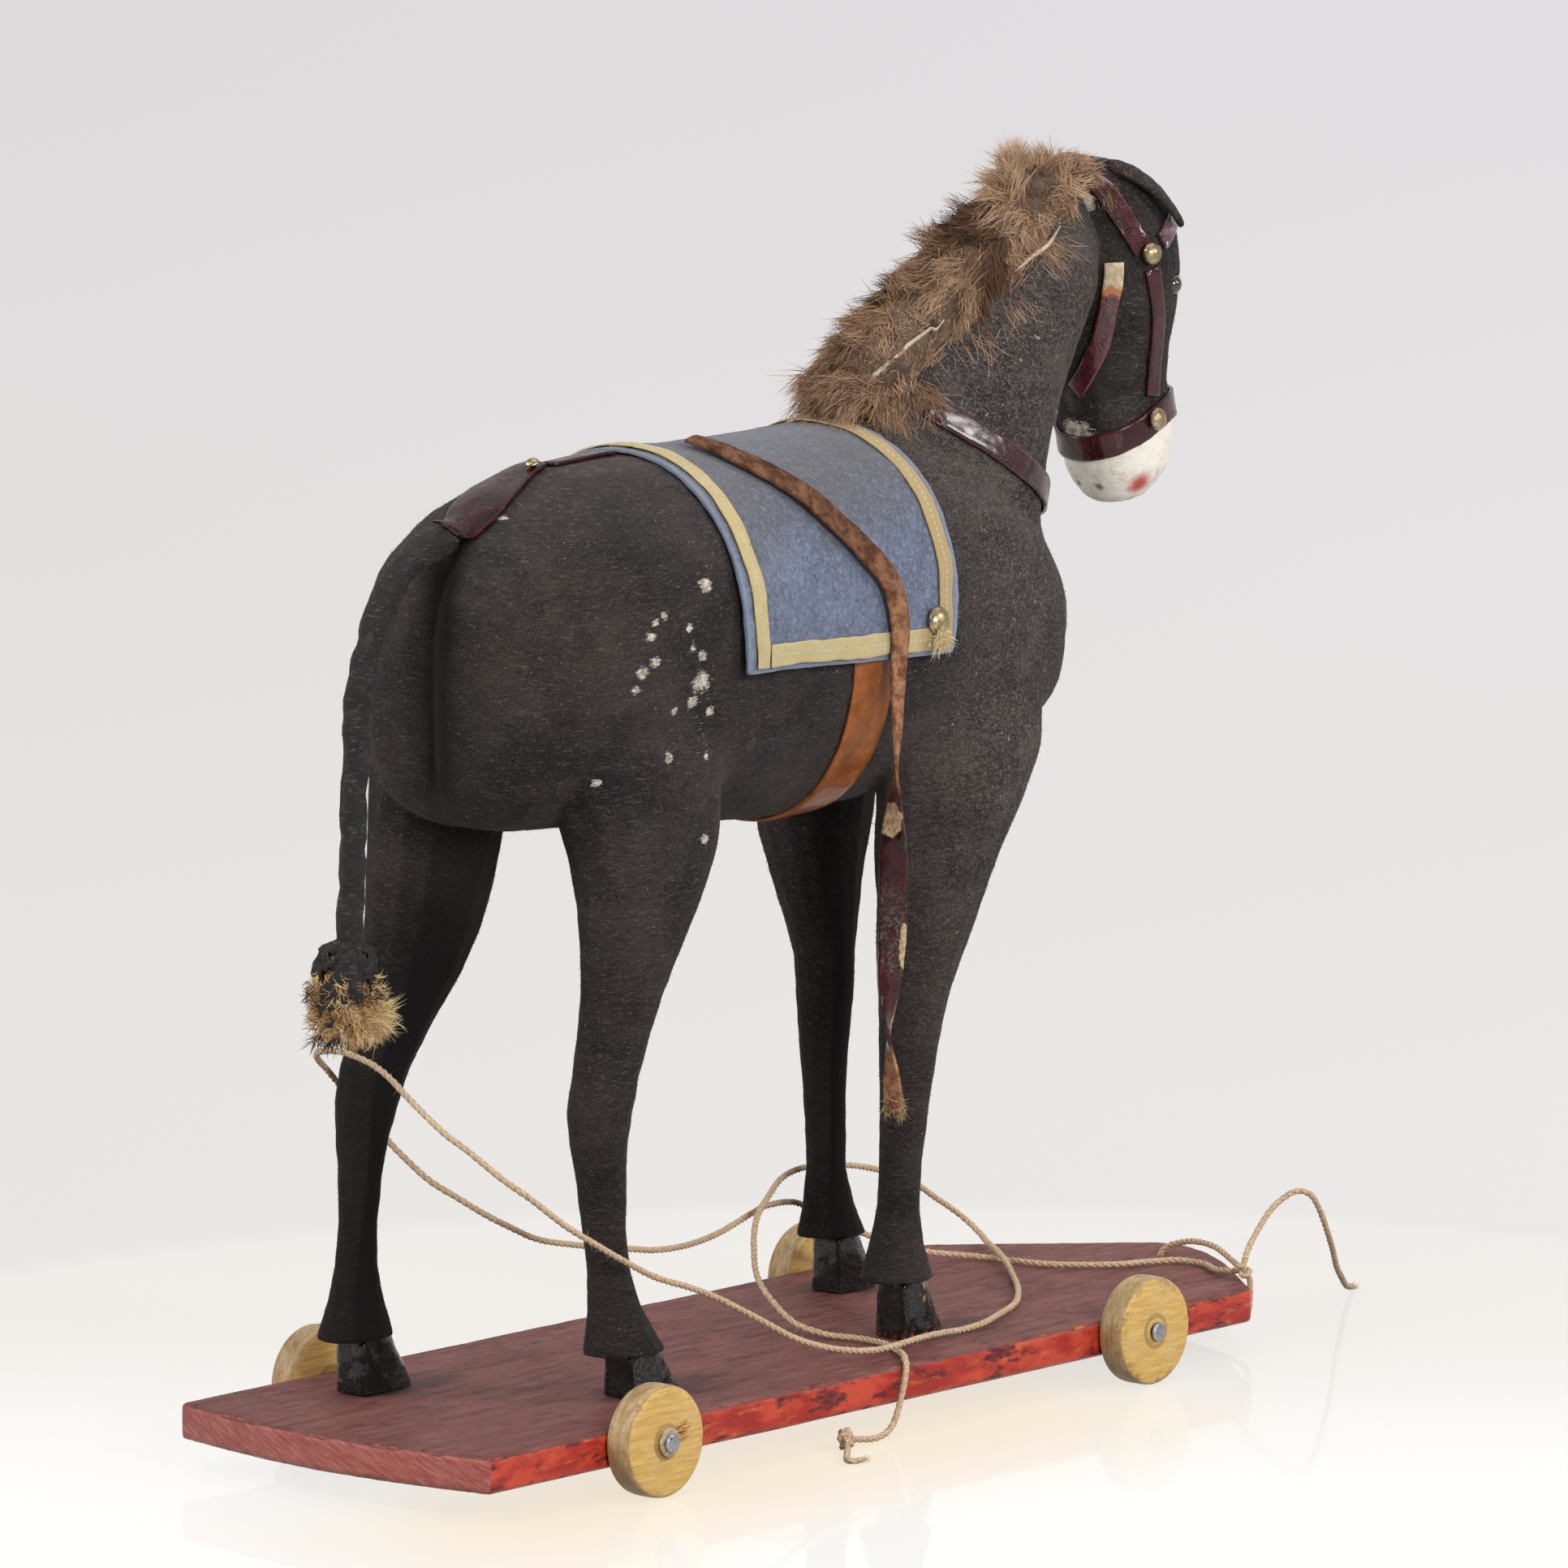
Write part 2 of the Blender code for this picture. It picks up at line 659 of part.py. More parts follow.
def strip_sections(skin, hits, widths, thickness, lift, columns, closed):
    """Cross-sections of a strap that follows hits on a skin and never dips into it."""
    count = len(hits)
    normals = [item.normalized() for item in softened([normal for _, normal in hits], 2, closed)]
    inner = []
    for i in range(count):
        before, after = hits[i - 1][0], hits[(i + 1) % count][0]
        if not closed:
            before, after = hits[max(i - 1, 0)][0], hits[min(i + 1, count - 1)][0]
        side = (after - before).cross(normals[i]).normalized()
        row = []
        for k in range(columns):
            point = hits[i][0] + side * widths[i] * (k / (columns - 1) - 0.5)
            found = skin.inward(point, normals[i])
            row.append((found if found is not None else point) + normals[i] * lift)
        inner.append(row)
    pairs = [(i, (i + 1) % count) for i in range(count if closed else count - 1)]
    for _ in range(3):
        raise_by = [[0.0] * columns for _ in range(count)]
        for i, j in pairs:
            for k in range(2 * columns - 1):
                a, b = k // 2, (k + 1) // 2
                start = (inner[i][a] + inner[i][b]) / 2
                end = (inner[j][a] + inner[j][b]) / 2
                for t in (0.0, 0.25, 0.5, 0.75, 1.0):
                    point = start.lerp(end, t)
                    normal = normals[i].lerp(normals[j], t).normalized()
                    found = skin.inward(point, normal, 5 * MM)
                    if found is None:
                        continue
                    need = (found - point).dot(normal) + lift
                    for row, column in ((i, a), (i, b), (j, a), (j, b)):
                        raise_by[row][column] = max(raise_by[row][column], need)
        for i in range(count):
            for k in range(columns):
                inner[i][k] = inner[i][k] + normals[i] * raise_by[i][k]
    sections = []
    for i in range(count):
        outer = [point + normals[i] * thickness for point in reversed(inner[i])]
        sections.append(inner[i] + outer)
    return sections


def strap(name, skin, rays, width, thickness, finish, closed=False, lift=STRAP_GAP, widths=None,
          columns=3):
    hits = [skin.outward(start, direction.normalized()) for start, direction in rays]
    widths = widths or [width] * len(hits)
    sections = strip_sections(skin, hits, widths, thickness, lift, columns, closed)
    return add_object(name, loft_shape(sections, closed), finish)


def fan(centre, forward, across, start, end, count, closed=False):
    """Rays that spread from one point in one plane, angles in degrees."""
    steps = count if closed else count - 1
    rays = []
    for i in range(count):
        angle = math.radians(start + (end - start) * i / steps)
        rays.append((centre, forward * math.cos(angle) + across * math.sin(angle)))
    return rays


def dome_profile(diameter, height, pin_diameter, pin_length):
    radius = diameter / 2
    profile = [(pin_diameter / 2, -pin_length), (pin_diameter / 2, 0.0), (radius, 0.0)]
    for angle in (25, 50, 72):
        turn = math.radians(angle)
        profile.append((radius * math.cos(turn), height * math.sin(turn)))
    profile.append((0.0, height))
    return profile


def stud(name, base, normal, diameter, height, pin_length, finish, pierced):
    """A domed nail whose pin goes through what it holds."""
    profile = dome_profile(diameter, height, STUD_PIN_DIAMETER, pin_length)
    made = lathe(name, profile, finish, base, normal, 14)
    hole = rod_cutter(name + "_hole", base + normal * GAP, base - normal * (pin_length + GAP),
                      STUD_PIN_DIAMETER + 2 * BORE_GAP, 12)
    for item in pierced:
        cut(item, hole)
    return made


def board_outline():
    half = BOARD_WIDTH / 2
    points = []
    for i in range(7):
        part = i / 6
        points.append((BOARD_REAR_X - BOARD_REAR_BOW * math.sin(math.pi * part),
                       half - 2 * half * part))
    points.append((BOARD_RIGHT_CORNER_X, -half))
    points.append((BOARD_RIGHT_CORNER_X + 15 * MM, -half + 17.5 * MM))
    points.append((BOARD_NOSE_X - 15 * MM, -half + 35 * MM))
    points.append((BOARD_NOSE_X - 5 * MM, -half + 51 * MM))
    points.append((BOARD_NOSE_X, -half + 65 * MM))
    points.append((BOARD_NOSE_X - 2 * MM, half - 55 * MM))
    points.append((BOARD_LEFT_CORNER_X, half))
    return points


def make_board(finish):
    shape = bmesh.new()
    outline = [shape.verts.new((x, y, BOARD_TOP - BOARD_THICKNESS)) for x, y in board_outline()]
    face = shape.faces.new(outline)
    raised = bmesh.ops.extrude_face_region(shape, geom=[face])
    tops = [item for item in raised["geom"] if isinstance(item, bmesh.types.BMVert)]
    bmesh.ops.translate(shape, verts=tops, vec=(0, 0, BOARD_THICKNESS))
    board = add_object("base_board", shape, finish, smooth=False)
    rounding = board.modifiers.new("worn_edges", "BEVEL")
    rounding.width = BOARD_EDGE_ROUND
    rounding.segments = 2
    rounding.limit_method = "ANGLE"
    rounding.angle_limit = math.radians(40)
    hole = rod_cutter("cord_hole", Vector((CORD_HOLE_X, CORD_HOLE_Y, 0)),
                      Vector((CORD_HOLE_X, CORD_HOLE_Y, 2 * BOARD_TOP)), CORD_HOLE_DIAMETER)
    cut(board, hole)
    return board


def make_wheel(name, x, side, mats, board, washer=False):
    """One wheel on its nail; side is +1 on the left and -1 on the right."""
    out = Vector((0, side, 0))
    hub = Vector((x, 0, WHEEL_DIAMETER / 2))
    board_face = BOARD_WIDTH / 2
    inner_face = board_face + WHEEL_SIDE_GAP
    radius = WHEEL_DIAMETER / 2
    bore = NAIL_DIAMETER / 2 + WHEEL_BORE_PLAY
    near = -WHEEL_THICKNESS / 2
    far = WHEEL_THICKNESS / 2
    edge = WHEEL_EDGE_ROUND
    profile = ((bore, near), (radius - edge, near), (radius, near + edge), (radius, far - edge),
               (radius - edge, far), (bore, far))
    shape = bmesh.new()
    rows = []
    count = 32
    for ring_radius, along in profile:
        ring = []
        for i in range(count):
            angle = 2 * math.pi * i / count
            ring.append(shape.verts.new((ring_radius * math.cos(angle), along,
                                         ring_radius * math.sin(angle))))
        rows.append(ring)
    for lower, upper in zip(rows, rows[1:] + rows[:1]):
        for i in range(count):
            j = (i + 1) % count
            shape.faces.new((lower[i], lower[j], upper[j], upper[i]))
    wheel = add_object("wheel_" + name, shape, mats["wheel"])
    wheel.location = hub + out * (inner_face + WHEEL_THICKNESS / 2)
    head_seat = inner_face + WHEEL_THICKNESS + NAIL_HEAD_PLAY
    if washer:
        ring_profile = ((bore, 0.0), (HUB_WASHER_DIAMETER / 2, 0.0),
                        (HUB_WASHER_DIAMETER / 2, HUB_WASHER_THICKNESS), (bore, HUB_WASHER_THICKNESS))
        rows = []
        shape = bmesh.new()
        for ring_radius, along in ring_profile:
            place = hub + out * (head_seat + along)
            ring = []
            for i in range(24):
                angle = 2 * math.pi * i / 24
                ring.append(shape.verts.new(place + Vector((ring_radius * math.cos(angle), 0,
                                                            ring_radius * math.sin(angle)))))
            rows.append(ring)
        for lower, upper in zip(rows, rows[1:] + rows[:1]):
            for i in range(24):
                j = (i + 1) % 24
                shape.faces.new((lower[i], lower[j], upper[j], upper[i]))
        add_object("hub_washer_" + name, shape, mats["wheel"])
        head_seat += HUB_WASHER_THICKNESS + GAP
    head = NAIL_HEAD_DIAMETER / 2
    start = board_face - NAIL_DEPTH_IN_WOOD
    profile = ((0.0, start), (NAIL_DIAMETER / 2, start + 3 * MM), (NAIL_DIAMETER / 2, head_seat),
               (head, head_seat), (head, head_seat + NAIL_HEAD_HEIGHT * 0.6),
               (head * 0.7, head_seat + NAIL_HEAD_HEIGHT), (0.0, head_seat + NAIL_HEAD_HEIGHT))
    lathe("axle_nail_" + name, profile, mats["steel"], hub, out, 16)
    hole = rod_cutter("nail_hole_" + name, hub + out * (start - GAP), hub + out * (board_face + 5 * MM),
                      NAIL_DIAMETER + 2 * BORE_GAP, 12)
    cut(board, hole)
    return wheel


def make_torso(finish):
    rings = []
    for x, low, high, half, fullness in smooth_rows(TORSO, 1):
        centre = spot(x, 0, (low + high) / 2)
        rings.append(ellipse_ring(centre, Vector((0, 1, 0)), Vector((0, 0, 1)), half * MM,
                                  (high - low) / 2 * MM, 30, fullness))
    return add_object("torso", loft_shape(rings), finish)


def make_neck(finish):
    rings = []
    for crest_x, crest_h, throat_x, throat_h, half in smooth_rows(NECK, 1):
        crest = spot(crest_x, 0, crest_h)
        throat = spot(throat_x, 0, throat_h)
        up = crest - throat
        rings.append(ellipse_ring((crest + throat) / 2, Vector((0, 1, 0)), up.normalized(),
                                  half * MM, up.length / 2, 24, 2.1, None, 0.24))
    return add_object("neck", loft_shape(rings), finish)


def make_head(finish):
    rings = []
    for height, x, half_length, half_width in smooth_rows(HEAD, 1):
        rings.append(ellipse_ring(spot(x, 0, height), Vector((1, 0, 0)), Vector((0, 1, 0)),
                                  half_length * MM, half_width * MM, 26, 2.2))
    return add_object("head", loft_shape(rings), finish)


def leg_place(rows, side):
    """Leg stations on one side of the body."""
    return [(height, x, half_length, half_width, y * side * LEG_SPREAD / (33 * MM))
            for height, x, half_length, half_width, y in rows]


def make_leg(name, stations, finish):
    rings = []
    for height, x, half_length, half_width, y in smooth_rows(stations, 1):
        rings.append(ellipse_ring(spot(x, y, height), Vector((1, 0, 0)), Vector((0, 1, 0)),
                                  half_length * MM, half_width * MM, 14, 2.0))
    return add_object("leg_" + name, loft_shape(rings), finish)


def hoof_plan(heel, middle_y, length, width, level):
    plan = ((0.0, 0.5), (0.0, -0.5), (0.5, -0.5), (0.82, -0.38), (0.97, -0.16), (0.97, 0.16),
            (0.82, 0.38), (0.5, 0.5))
    return [Vector((heel + along * length, middle_y + across * width, level))
            for along, across in plan]


def make_hoof(name, foot, hoof_length, mats, board, leg):
    """A hoof block with a peg up into its leg, and the screw that holds it."""
    height, x, _, _, y = foot
    top_length = hoof_length - HOOF_TOP_SETBACK
    heel = x * MM - HOOF_HEEL_BEHIND_LEG
    middle_y = y * MM
    low = BOARD_TOP + GAP
    high = BOARD_TOP + height * MM - HOOF_UNDER_RIM
    rings = [hoof_plan(heel, middle_y, hoof_length, HOOF_WIDTH, low),
             hoof_plan(heel, middle_y, hoof_length - 0.8 * MM, HOOF_WIDTH - 0.2 * MM, low + 2 * MM),
             hoof_plan(heel, middle_y, top_length, HOOF_WIDTH - 1.6 * MM, high)]
    hoof = add_object("hoof_" + name, loft_shape(rings), mats["hoof"])
    peg_at = Vector((x * MM + PEG_DIAMETER / 2 - 1 * MM, middle_y, high - 3 * MM))
    peg = lathe("hoof_peg_" + name, ((PEG_DIAMETER / 2, 0.0), (PEG_DIAMETER / 2, PEG_LENGTH + 2 * MM),
                                     (PEG_DIAMETER / 2 - 1 * MM, PEG_LENGTH + 3 * MM)),
                None, peg_at, Vector((0, 0, 1)), 16)
    as_cutter(peg)
    step = hoof.modifiers.new("peg", "BOOLEAN")
    step.operation = "UNION"
    step.solver = "EXACT"
    step.object = peg
    socket = rod_cutter("socket_" + name, peg_at, peg_at + Vector((0, 0, PEG_LENGTH + 3.4 * MM)),
                        PEG_DIAMETER + 2 * BORE_GAP, 20)
    cut(leg, socket)

    screw_at = Vector((heel + SCREW_AHEAD_OF_HEEL, middle_y, BOARD_TOP - BOARD_THICKNESS + GAP))
    length = BOARD_THICKNESS - GAP + SCREW_IN_HOOF
    shank = SCREW_DIAMETER / 2
    head = SCREW_HEAD_DIAMETER / 2
    up = Vector((0, 0, 1))
    lathe("leg_screw_" + name, ((0.0, 0.0), (head, 0.0), (shank, SCREW_HEAD_HEIGHT),
                                (shank, length - 3 * MM), (0.0, length)), mats["steel"], screw_at, up, 14)
    hole = as_cutter(lathe("screw_hole_" + name, (
        (0.0, -1 * MM), (head + 1 * MM + BORE_GAP, -1 * MM), (head + BORE_GAP, 0.0),
        (shank + BORE_GAP, SCREW_HEAD_HEIGHT), (shank + BORE_GAP, length + GAP), (0.0, length + GAP)),
        None, screw_at, up, 14))
    cut(board, hole)
    cut(hoof, hole)
    return hoof


def make_mane(finish):
    rings = []
    rows = smooth_rows(MANE, 1)
    for i, (x, height, above, below, half) in enumerate(rows):
        before = rows[max(i - 1, 0)]
        after = rows[min(i + 1, len(rows) - 1)]
        along = Vector((after[0] - before[0], 0, after[1] - before[1])).normalized()
        up = Vector((-along.z, 0, along.x))
        rings.append(ellipse_ring(spot(x, -3.0, height), Vector((0, 1, 0)), up, half * MM, above * MM,
                                  22, 2.0, below * MM))
    return add_object("mane", loft_shape(rings), finish)


def make_ear(name, side, finish):
    """A leather ear pressed forward over the brow."""
    route = ((154.5, 9.0, 362.0, 2.6, 1.9), (158.0, 10.8, 361.0, 4.6, 2.0),
             (162.5, 13.4, 359.0, 5.4, 1.9), (167.5, 16.0, 355.4, 5.4, 1.7),
             (172.4, 18.4, 350.4, 4.6, 1.5), (176.2, 19.9, 345.4, 3.2, 1.3),
             (178.4, 20.4, 341.6, 1.6, 1.0))
    rows = smooth_rows(route, 2)
    middle = spot(163.0, 0, 335.0)
    rings = []
    for i, (x, y, height, half, thick) in enumerate(rows):
        place = spot(x, y * side, height)
        before = rows[max(i - 1, 0)]
        after = rows[min(i + 1, len(rows) - 1)]
        along = (spot(after[0], after[1] * side, after[2])
                 - spot(before[0], before[1] * side, before[2])).normalized()
        out = (place - middle)
        out = (out - along * out.dot(along)).normalized()
        across = along.cross(out)
        rings.append(ellipse_ring(place, across, out, half * MM, thick * MM, 10))
    return add_object("ear_" + name, loft_shape(rings), finish)


def tube_shape(route, radii, count):
    rings = []
    side = Vector((0, 1, 0))
    for i, place in enumerate(route):
        before = route[max(i - 1, 0)]
        after = route[min(i + 1, len(route) - 1)]
        along = (after - before).normalized()
        up = along.cross(side).normalized()
        across = up.cross(along)
        rings.append(ellipse_ring(place, across, up, radii[i], radii[i], count))
    return loft_shape(rings)


def make_tail(finish):
    rows = smooth_rows(TAIL, 2)
    route = [spot(x, y, height) for x, y, height in rows]
    radii = []
    for i in range(len(route)):
        part = min(max(i - 3, 0) / 6, 1.0)
        swell = min(0.6 + 0.13 * i, 1.0)
        radii.append((TAIL_ROOT_DIAMETER + (TAIL_DIAMETER - TAIL_ROOT_DIAMETER) * part) / 2 * swell)
    return add_object("tail", tube_shape(route, radii, 12), finish)


def make_tuft(finish, tail):
    rings = []
    for height, x, radius in smooth_rows(TUFT, 1):
        rings.append(ellipse_ring(spot(x, 4.0, height), Vector((1, 0, 0)), Vector((0, 1, 0)),
                                  radius * MM, radius * MM, 16))
    tuft = add_object("tail_tuft", loft_shape(rings), finish)
    cut(tuft, grown(tail, JOINT_GAP, "tail_grown"))
    return tuft


class Saddle:
    """The saddle cloth as a surface: x along the back, angle round the barrel."""

    def __init__(self, skin):
        self.skin = skin
        self.axis_height = 230.0

    def between(self, ridge, side, hem, angle):
        share = min(abs(angle) / CLOTH_HEM_ANGLE, 1.0)
        return (ridge * 2 * (share - 0.5) * (share - 1) - side * 4 * share * (share - 1)
                + hem * 2 * share * (share - 0.5))

    def rear(self, angle):
        return self.between(CLOTH_RIDGE_REAR_X, CLOTH_SIDE_REAR_X, CLOTH_HEM_REAR_X, angle)

    def front(self, angle):
        return self.between(CLOTH_RIDGE_FRONT_X, CLOTH_SIDE_FRONT_X, CLOTH_HEM_FRONT_X, angle)

    def lift(self, x, angle):
        """How far the cloth stands off: close on the back, hanging clear at the hem."""
        share = max(0.0, (abs(angle) - 30.0) / (CLOTH_HEM_ANGLE - 30.0))
        hang = CLOTH_HEM_LIFT * min(share, 1.0) ** 0.7
        wave = 0.5 + 0.5 * math.cos(2 * math.pi * (x - CLOTH_HEM_REAR_X) / (46 * MM))
        return CLOTH_BACK_LIFT + hang + CLOTH_HEM_WAVE * wave * min(share, 1.0) ** 3

    def place(self, x, angle, out):
        ahead = (x - self.rear(angle)) / (self.front(angle) - self.rear(angle))
        turn = math.radians(angle * (1.0 + CLOTH_FRONT_DROP / CLOTH_HEM_ANGLE * ahead))
        start = Vector((x, 0, BOARD_TOP + self.axis_height * MM))
        direction = Vector((0, -math.sin(turn), math.cos(turn)))
        hit, normal = self.skin.outward(start, direction)
        normal = Vector((normal.x * 0.3, normal.y, normal.z)).normalized()
        return hit + normal * (self.lift(x, angle) + out), normal

    def sheet(self, name, columns, angles, low, high, finish):
        """A closed sheet: columns gives the x values at an angle."""
        inner = []
        outer = []
        for angle in angles:
            row_in = []
            row_out = []
            for x in columns(angle):
                point, normal = self.place(x, angle, low)
                row_in.append(point)
                row_out.append(point + normal * (high - low))
            inner.append(row_in)
            outer.append(row_out)
        rings = []
        for row_in, row_out in zip(inner, outer):
            rings.append(row_in + row_out[::-1])
        return add_object(name, sheet_shape(rings, len(inner[0])), finish)


def sheet_shape(rings, width):
    """Rings of inner then returning outer points, with the ends closed by quads."""
    shape = bmesh.new()
    rows = [[shape.verts.new(point) for point in ring] for ring in rings]
    size = 2 * width
    for lower, upper in zip(rows, rows[1:]):
        for i in range(size):
            j = (i + 1) % size
            shape.faces.new((lower[i], lower[j], upper[j], upper[i]))
    for row in (rows[0], rows[-1]):
        for i in range(width - 1):
            shape.faces.new((row[i], row[i + 1], row[size - 2 - i], row[size - 1 - i]))
    return shape


def spread(start, end, count):
    return [start + (end - start) * i / (count - 1) for i in range(count)]


def make_saddle(skin, mats):
    saddle = Saddle(skin)
    hem = CLOTH_HEM_ANGLE
    cloth = saddle.sheet("saddle_cloth", lambda a: spread(saddle.rear(a), saddle.front(a), 9),
                         spread(-hem, hem, 23), 0.0, CLOTH_THICKNESS, mats["cloth"])
    low = CLOTH_THICKNESS + RIBBON_GAP
    high = low + RIBBON_THICKNESS
    near_hem = hem - 2.0
    saddle.sheet("cloth_ribbon_rear", lambda a: spread(saddle.rear(a) + RIBBON_INSET,
                                                       saddle.rear(a) + RIBBON_INSET + RIBBON_WIDTH, 3),
                 spread(-near_hem, near_hem, 23), low, high, mats["ribbon"])
    saddle.sheet("cloth_ribbon_front", lambda a: spread(saddle.front(a) - RIBBON_INSET - RIBBON_WIDTH,
                                                        saddle.front(a) - RIBBON_INSET, 3),
                 spread(-near_hem, near_hem, 23), low, high, mats["ribbon"])
    reach = math.degrees(RIBBON_WIDTH / (48 * MM))
    for name, side in (("right", 1), ("left", -1)):
        angles = spread(side * near_hem, side * (near_hem - reach), 3)
        saddle.sheet("cloth_ribbon_" + name, lambda a: spread(
            saddle.rear(a) + RIBBON_INSET + RIBBON_WIDTH + 2 * GAP,
            saddle.front(a) - RIBBON_INSET - RIBBON_WIDTH - 2 * GAP, 12), angles, low, high, mats["ribbon"])
    return saddle, cloth


def barrel_ray(x, angle, height=230.0):
    turn = math.radians(angle)
    start = Vector((x * MM, 0, BOARD_TOP + height * MM))
    return start, Vector((0, -math.sin(turn), math.cos(turn)))


def make_girth(skin, finish):
    rays = []
    for angle in spread(93.0, 267.0, 23):
        rays.append(barrel_ray(-3.8, angle))
    return strap("girth_strap", skin, rays, GIRTH_WIDTH, GIRTH_THICKNESS, finish)


def make_loose_strap(saddle, finish):
    """The torn strap: laid over the cloth, then hanging free beside the near front leg."""
    laid = smooth_rows(((-47.5, 8.0), (-45.0, 15.0), (-38.0, 26.5), (-28.5, 36.5), (-21.5, 45.0),
                        (-12.0, 56.0), (-2.5, 67.0), (1.5, 78.0), (2.0, 89.0), (1.5, 98.0)), 2)
    centres = []
    normals = []
    for x, angle in laid:
        place, normal = saddle.place(x * MM, angle, CLOTH_THICKNESS + RIBBON_THICKNESS + 3 * RIBBON_GAP)
        centres.append(place)
        normals.append(normal)
    end = centres[-1]
    normals = softened(normals, 4, False)
    widths = [1.0 - 0.18 * min(max(i - len(laid) + 5, 0) / 4, 1.0) for i in range(len(laid))]
    hanging = smooth_rows(LOOSE_STRAP_HANGING, 1)
    for x, drop, share, turn in hanging:
        angle = math.radians(221.3 + turn)
        centres.append(end + Vector((x * MM, 0, -drop * MM)))
        normals.append(Vector((math.cos(angle), math.sin(angle), 0)))
        widths.append(share)
    sections = []
    last = len(centres) - 1
    for i, centre in enumerate(centres):
        along = centres[min(i + 1, last)] - centres[max(i - 1, 0)]
        normal = normals[i].normalized()
        side = along.cross(normal).normalized()
        normal = side.cross(along).normalized()
        half = LOOSE_STRAP_WIDTH / 2 * widths[i]
        inner = [centre + side * offset for offset in (-half, 0.0, half)]
        outer = [point + normal * STRAP_THICKNESS for point in reversed(inner)]
        sections.append(inner + outer)
    return add_object("loose_strap", loft_shape(sections), finish)


def make_crupper(skin, mats):
    rays = [barrel_ray(x, 0.0) for x in spread(-74.5, -102.5, 8)]
    strap("crupper_strap", skin, rays, CRUPPER_STRAP_WIDTH, STRAP_THICKNESS, mats["maroon"])
    rays = []
    widths = []
    for x, y, height, width in ((-104.5, 2.0, 286.0, 9.0), (-110.0, 3.5, 285.5, 12.0),
                                (-118.0, 4.0, 283.0, 18.0), (-126.0, 3.5, 279.5, 22.0),
                                (-133.0, 1.5, 275.0, 22.0), (-139.0, -0.5, 271.5, 18.0),
                                (-143.0, -1.5, 269.5, 14.0), (-145.6, -2.0, 268.0, 10.0)):
        start = spot(-96.0, y, 230.0)
        rays.append((start, spot(x, y, height) - start))
        widths.append(width * MM)
    patch = strap("crupper_patch", skin, rays, 0.0, STRAP_THICKNESS, mats["maroon"], widths=widths,
                  lift=POLL_STRAP_GAP, columns=5)
    return patch


def make_head_harness(skin, mats):
    side_axis = Vector((0, -1, 0))
    front_axis = Vector((1, 0, 0))
    up_axis = Vector((0, 0, 1))

    def head_ray(angle, height, x=169.0):
        turn = math.radians(angle)
        return spot(x, 0, height), front_axis * math.cos(turn) + side_axis * math.sin(turn)

    def band_height(angle):
        turn = abs((angle + 180.0) % 360.0 - 180.0)
        return float(np.interp(turn, (0, 60, 86, 113, 141, 165, 180),
                               (284.5, 282.5, 279.5, 275.4, 272.0, 270.2, 270.2)))

    rays = [head_ray(360.0 * i / 24, band_height(360.0 * i / 24)) for i in range(24)]
    noseband = strap("noseband", skin, rays, NOSEBAND_WIDTH, STRAP_THICKNESS, mats["maroon"], True)
    made = {"noseband": noseband}
    cheek_route = ((286.6, 92.0), (293.0, 89.5), (303.0, 88.0), (312.0, 90.0), (321.0, 97.0),
                   (328.6, 103.0))
    throat_route = ((331.0, 141.0), (325.0, 141.0), (317.0, 145.0), (307.0, 150.0), (299.0, 159.0),
                    (292.5, 169.0), (289.0, 177.0))
    for name, sign in (("right", 1), ("left", -1)):
        rays = [head_ray(sign * angle, height) for height, angle in smooth_rows(cheek_route, 1)]
        made["cheek_strap_" + name] = strap("cheek_strap_" + name, skin, rays, CHEEK_STRAP_WIDTH,
                                            STRAP_THICKNESS, mats["maroon"])
    rays = [head_ray(angle, height) for height, angle in smooth_rows(throat_route, 2)]
    made["throat_strap"] = strap("throat_strap", skin, rays, THROAT_STRAP_WIDTH, STRAP_THICKNESS,
                                 mats["maroon"], lift=POLL_STRAP_GAP)

    poll = spot(146.0, 0, 362.0)
    middle = spot(163.0, 0, 332.0)
    poll_way = (poll - middle).normalized()
    rays = fan(middle, poll_way, side_axis, -80.0, 80.0, 17)
    made["headstall"] = strap("headstall", skin, rays, HEADSTALL_WIDTH, STRAP_THICKNESS, mats["brown"],
                              lift=POLL_STRAP_GAP, columns=5)
    brow_way = (spot(186.0, 0, 348.0) - middle).normalized()
    rays = fan(middle, brow_way, side_axis, -66.0, 66.0, 13)
    made["brow_band"] = strap("brow_band", skin, rays, BROW_BAND_WIDTH, STRAP_THICKNESS, mats["maroon"])
    for name, sign in (("right", 1), ("left", -1)):
        for kind, angle, height, holds in (("brow_stud_", 107.0, 333.5, ("headstall", "brow_band")),
                                           ("nose_stud_", 93.0, 279.2, ("noseband",))):
            start, direction = head_ray(sign * angle, height)
            hit, normal = skin.outward(start, direction)
            base = hit + normal * (STRAP_GAP + STRAP_THICKNESS + 3 * GAP)
            made[kind + name] = (base, normal, holds)
    return made


def cord_tube(name, route, finish, steps):
    """A round cord along a smooth curve through its route."""
    points = smooth_rows(route, steps)
    curve = bpy.data.curves.new(name, "CURVE")
    curve.dimensions = "3D"
    curve.bevel_depth = CORD_DIAMETER / 2
    curve.bevel_resolution = 2
    curve.use_fill_caps = True
    line = curve.splines.new("POLY")
    line.points.add(len(points) - 1)
    for item, point in zip(line.points, points):
        item.co = (point[0] * MM, point[1] * MM, point[2] * MM, 1.0)
    made = bpy.data.objects.new(name, curve)
    bpy.context.scene.collection.objects.link(made)
    curve.materials.append(finish)
    return made


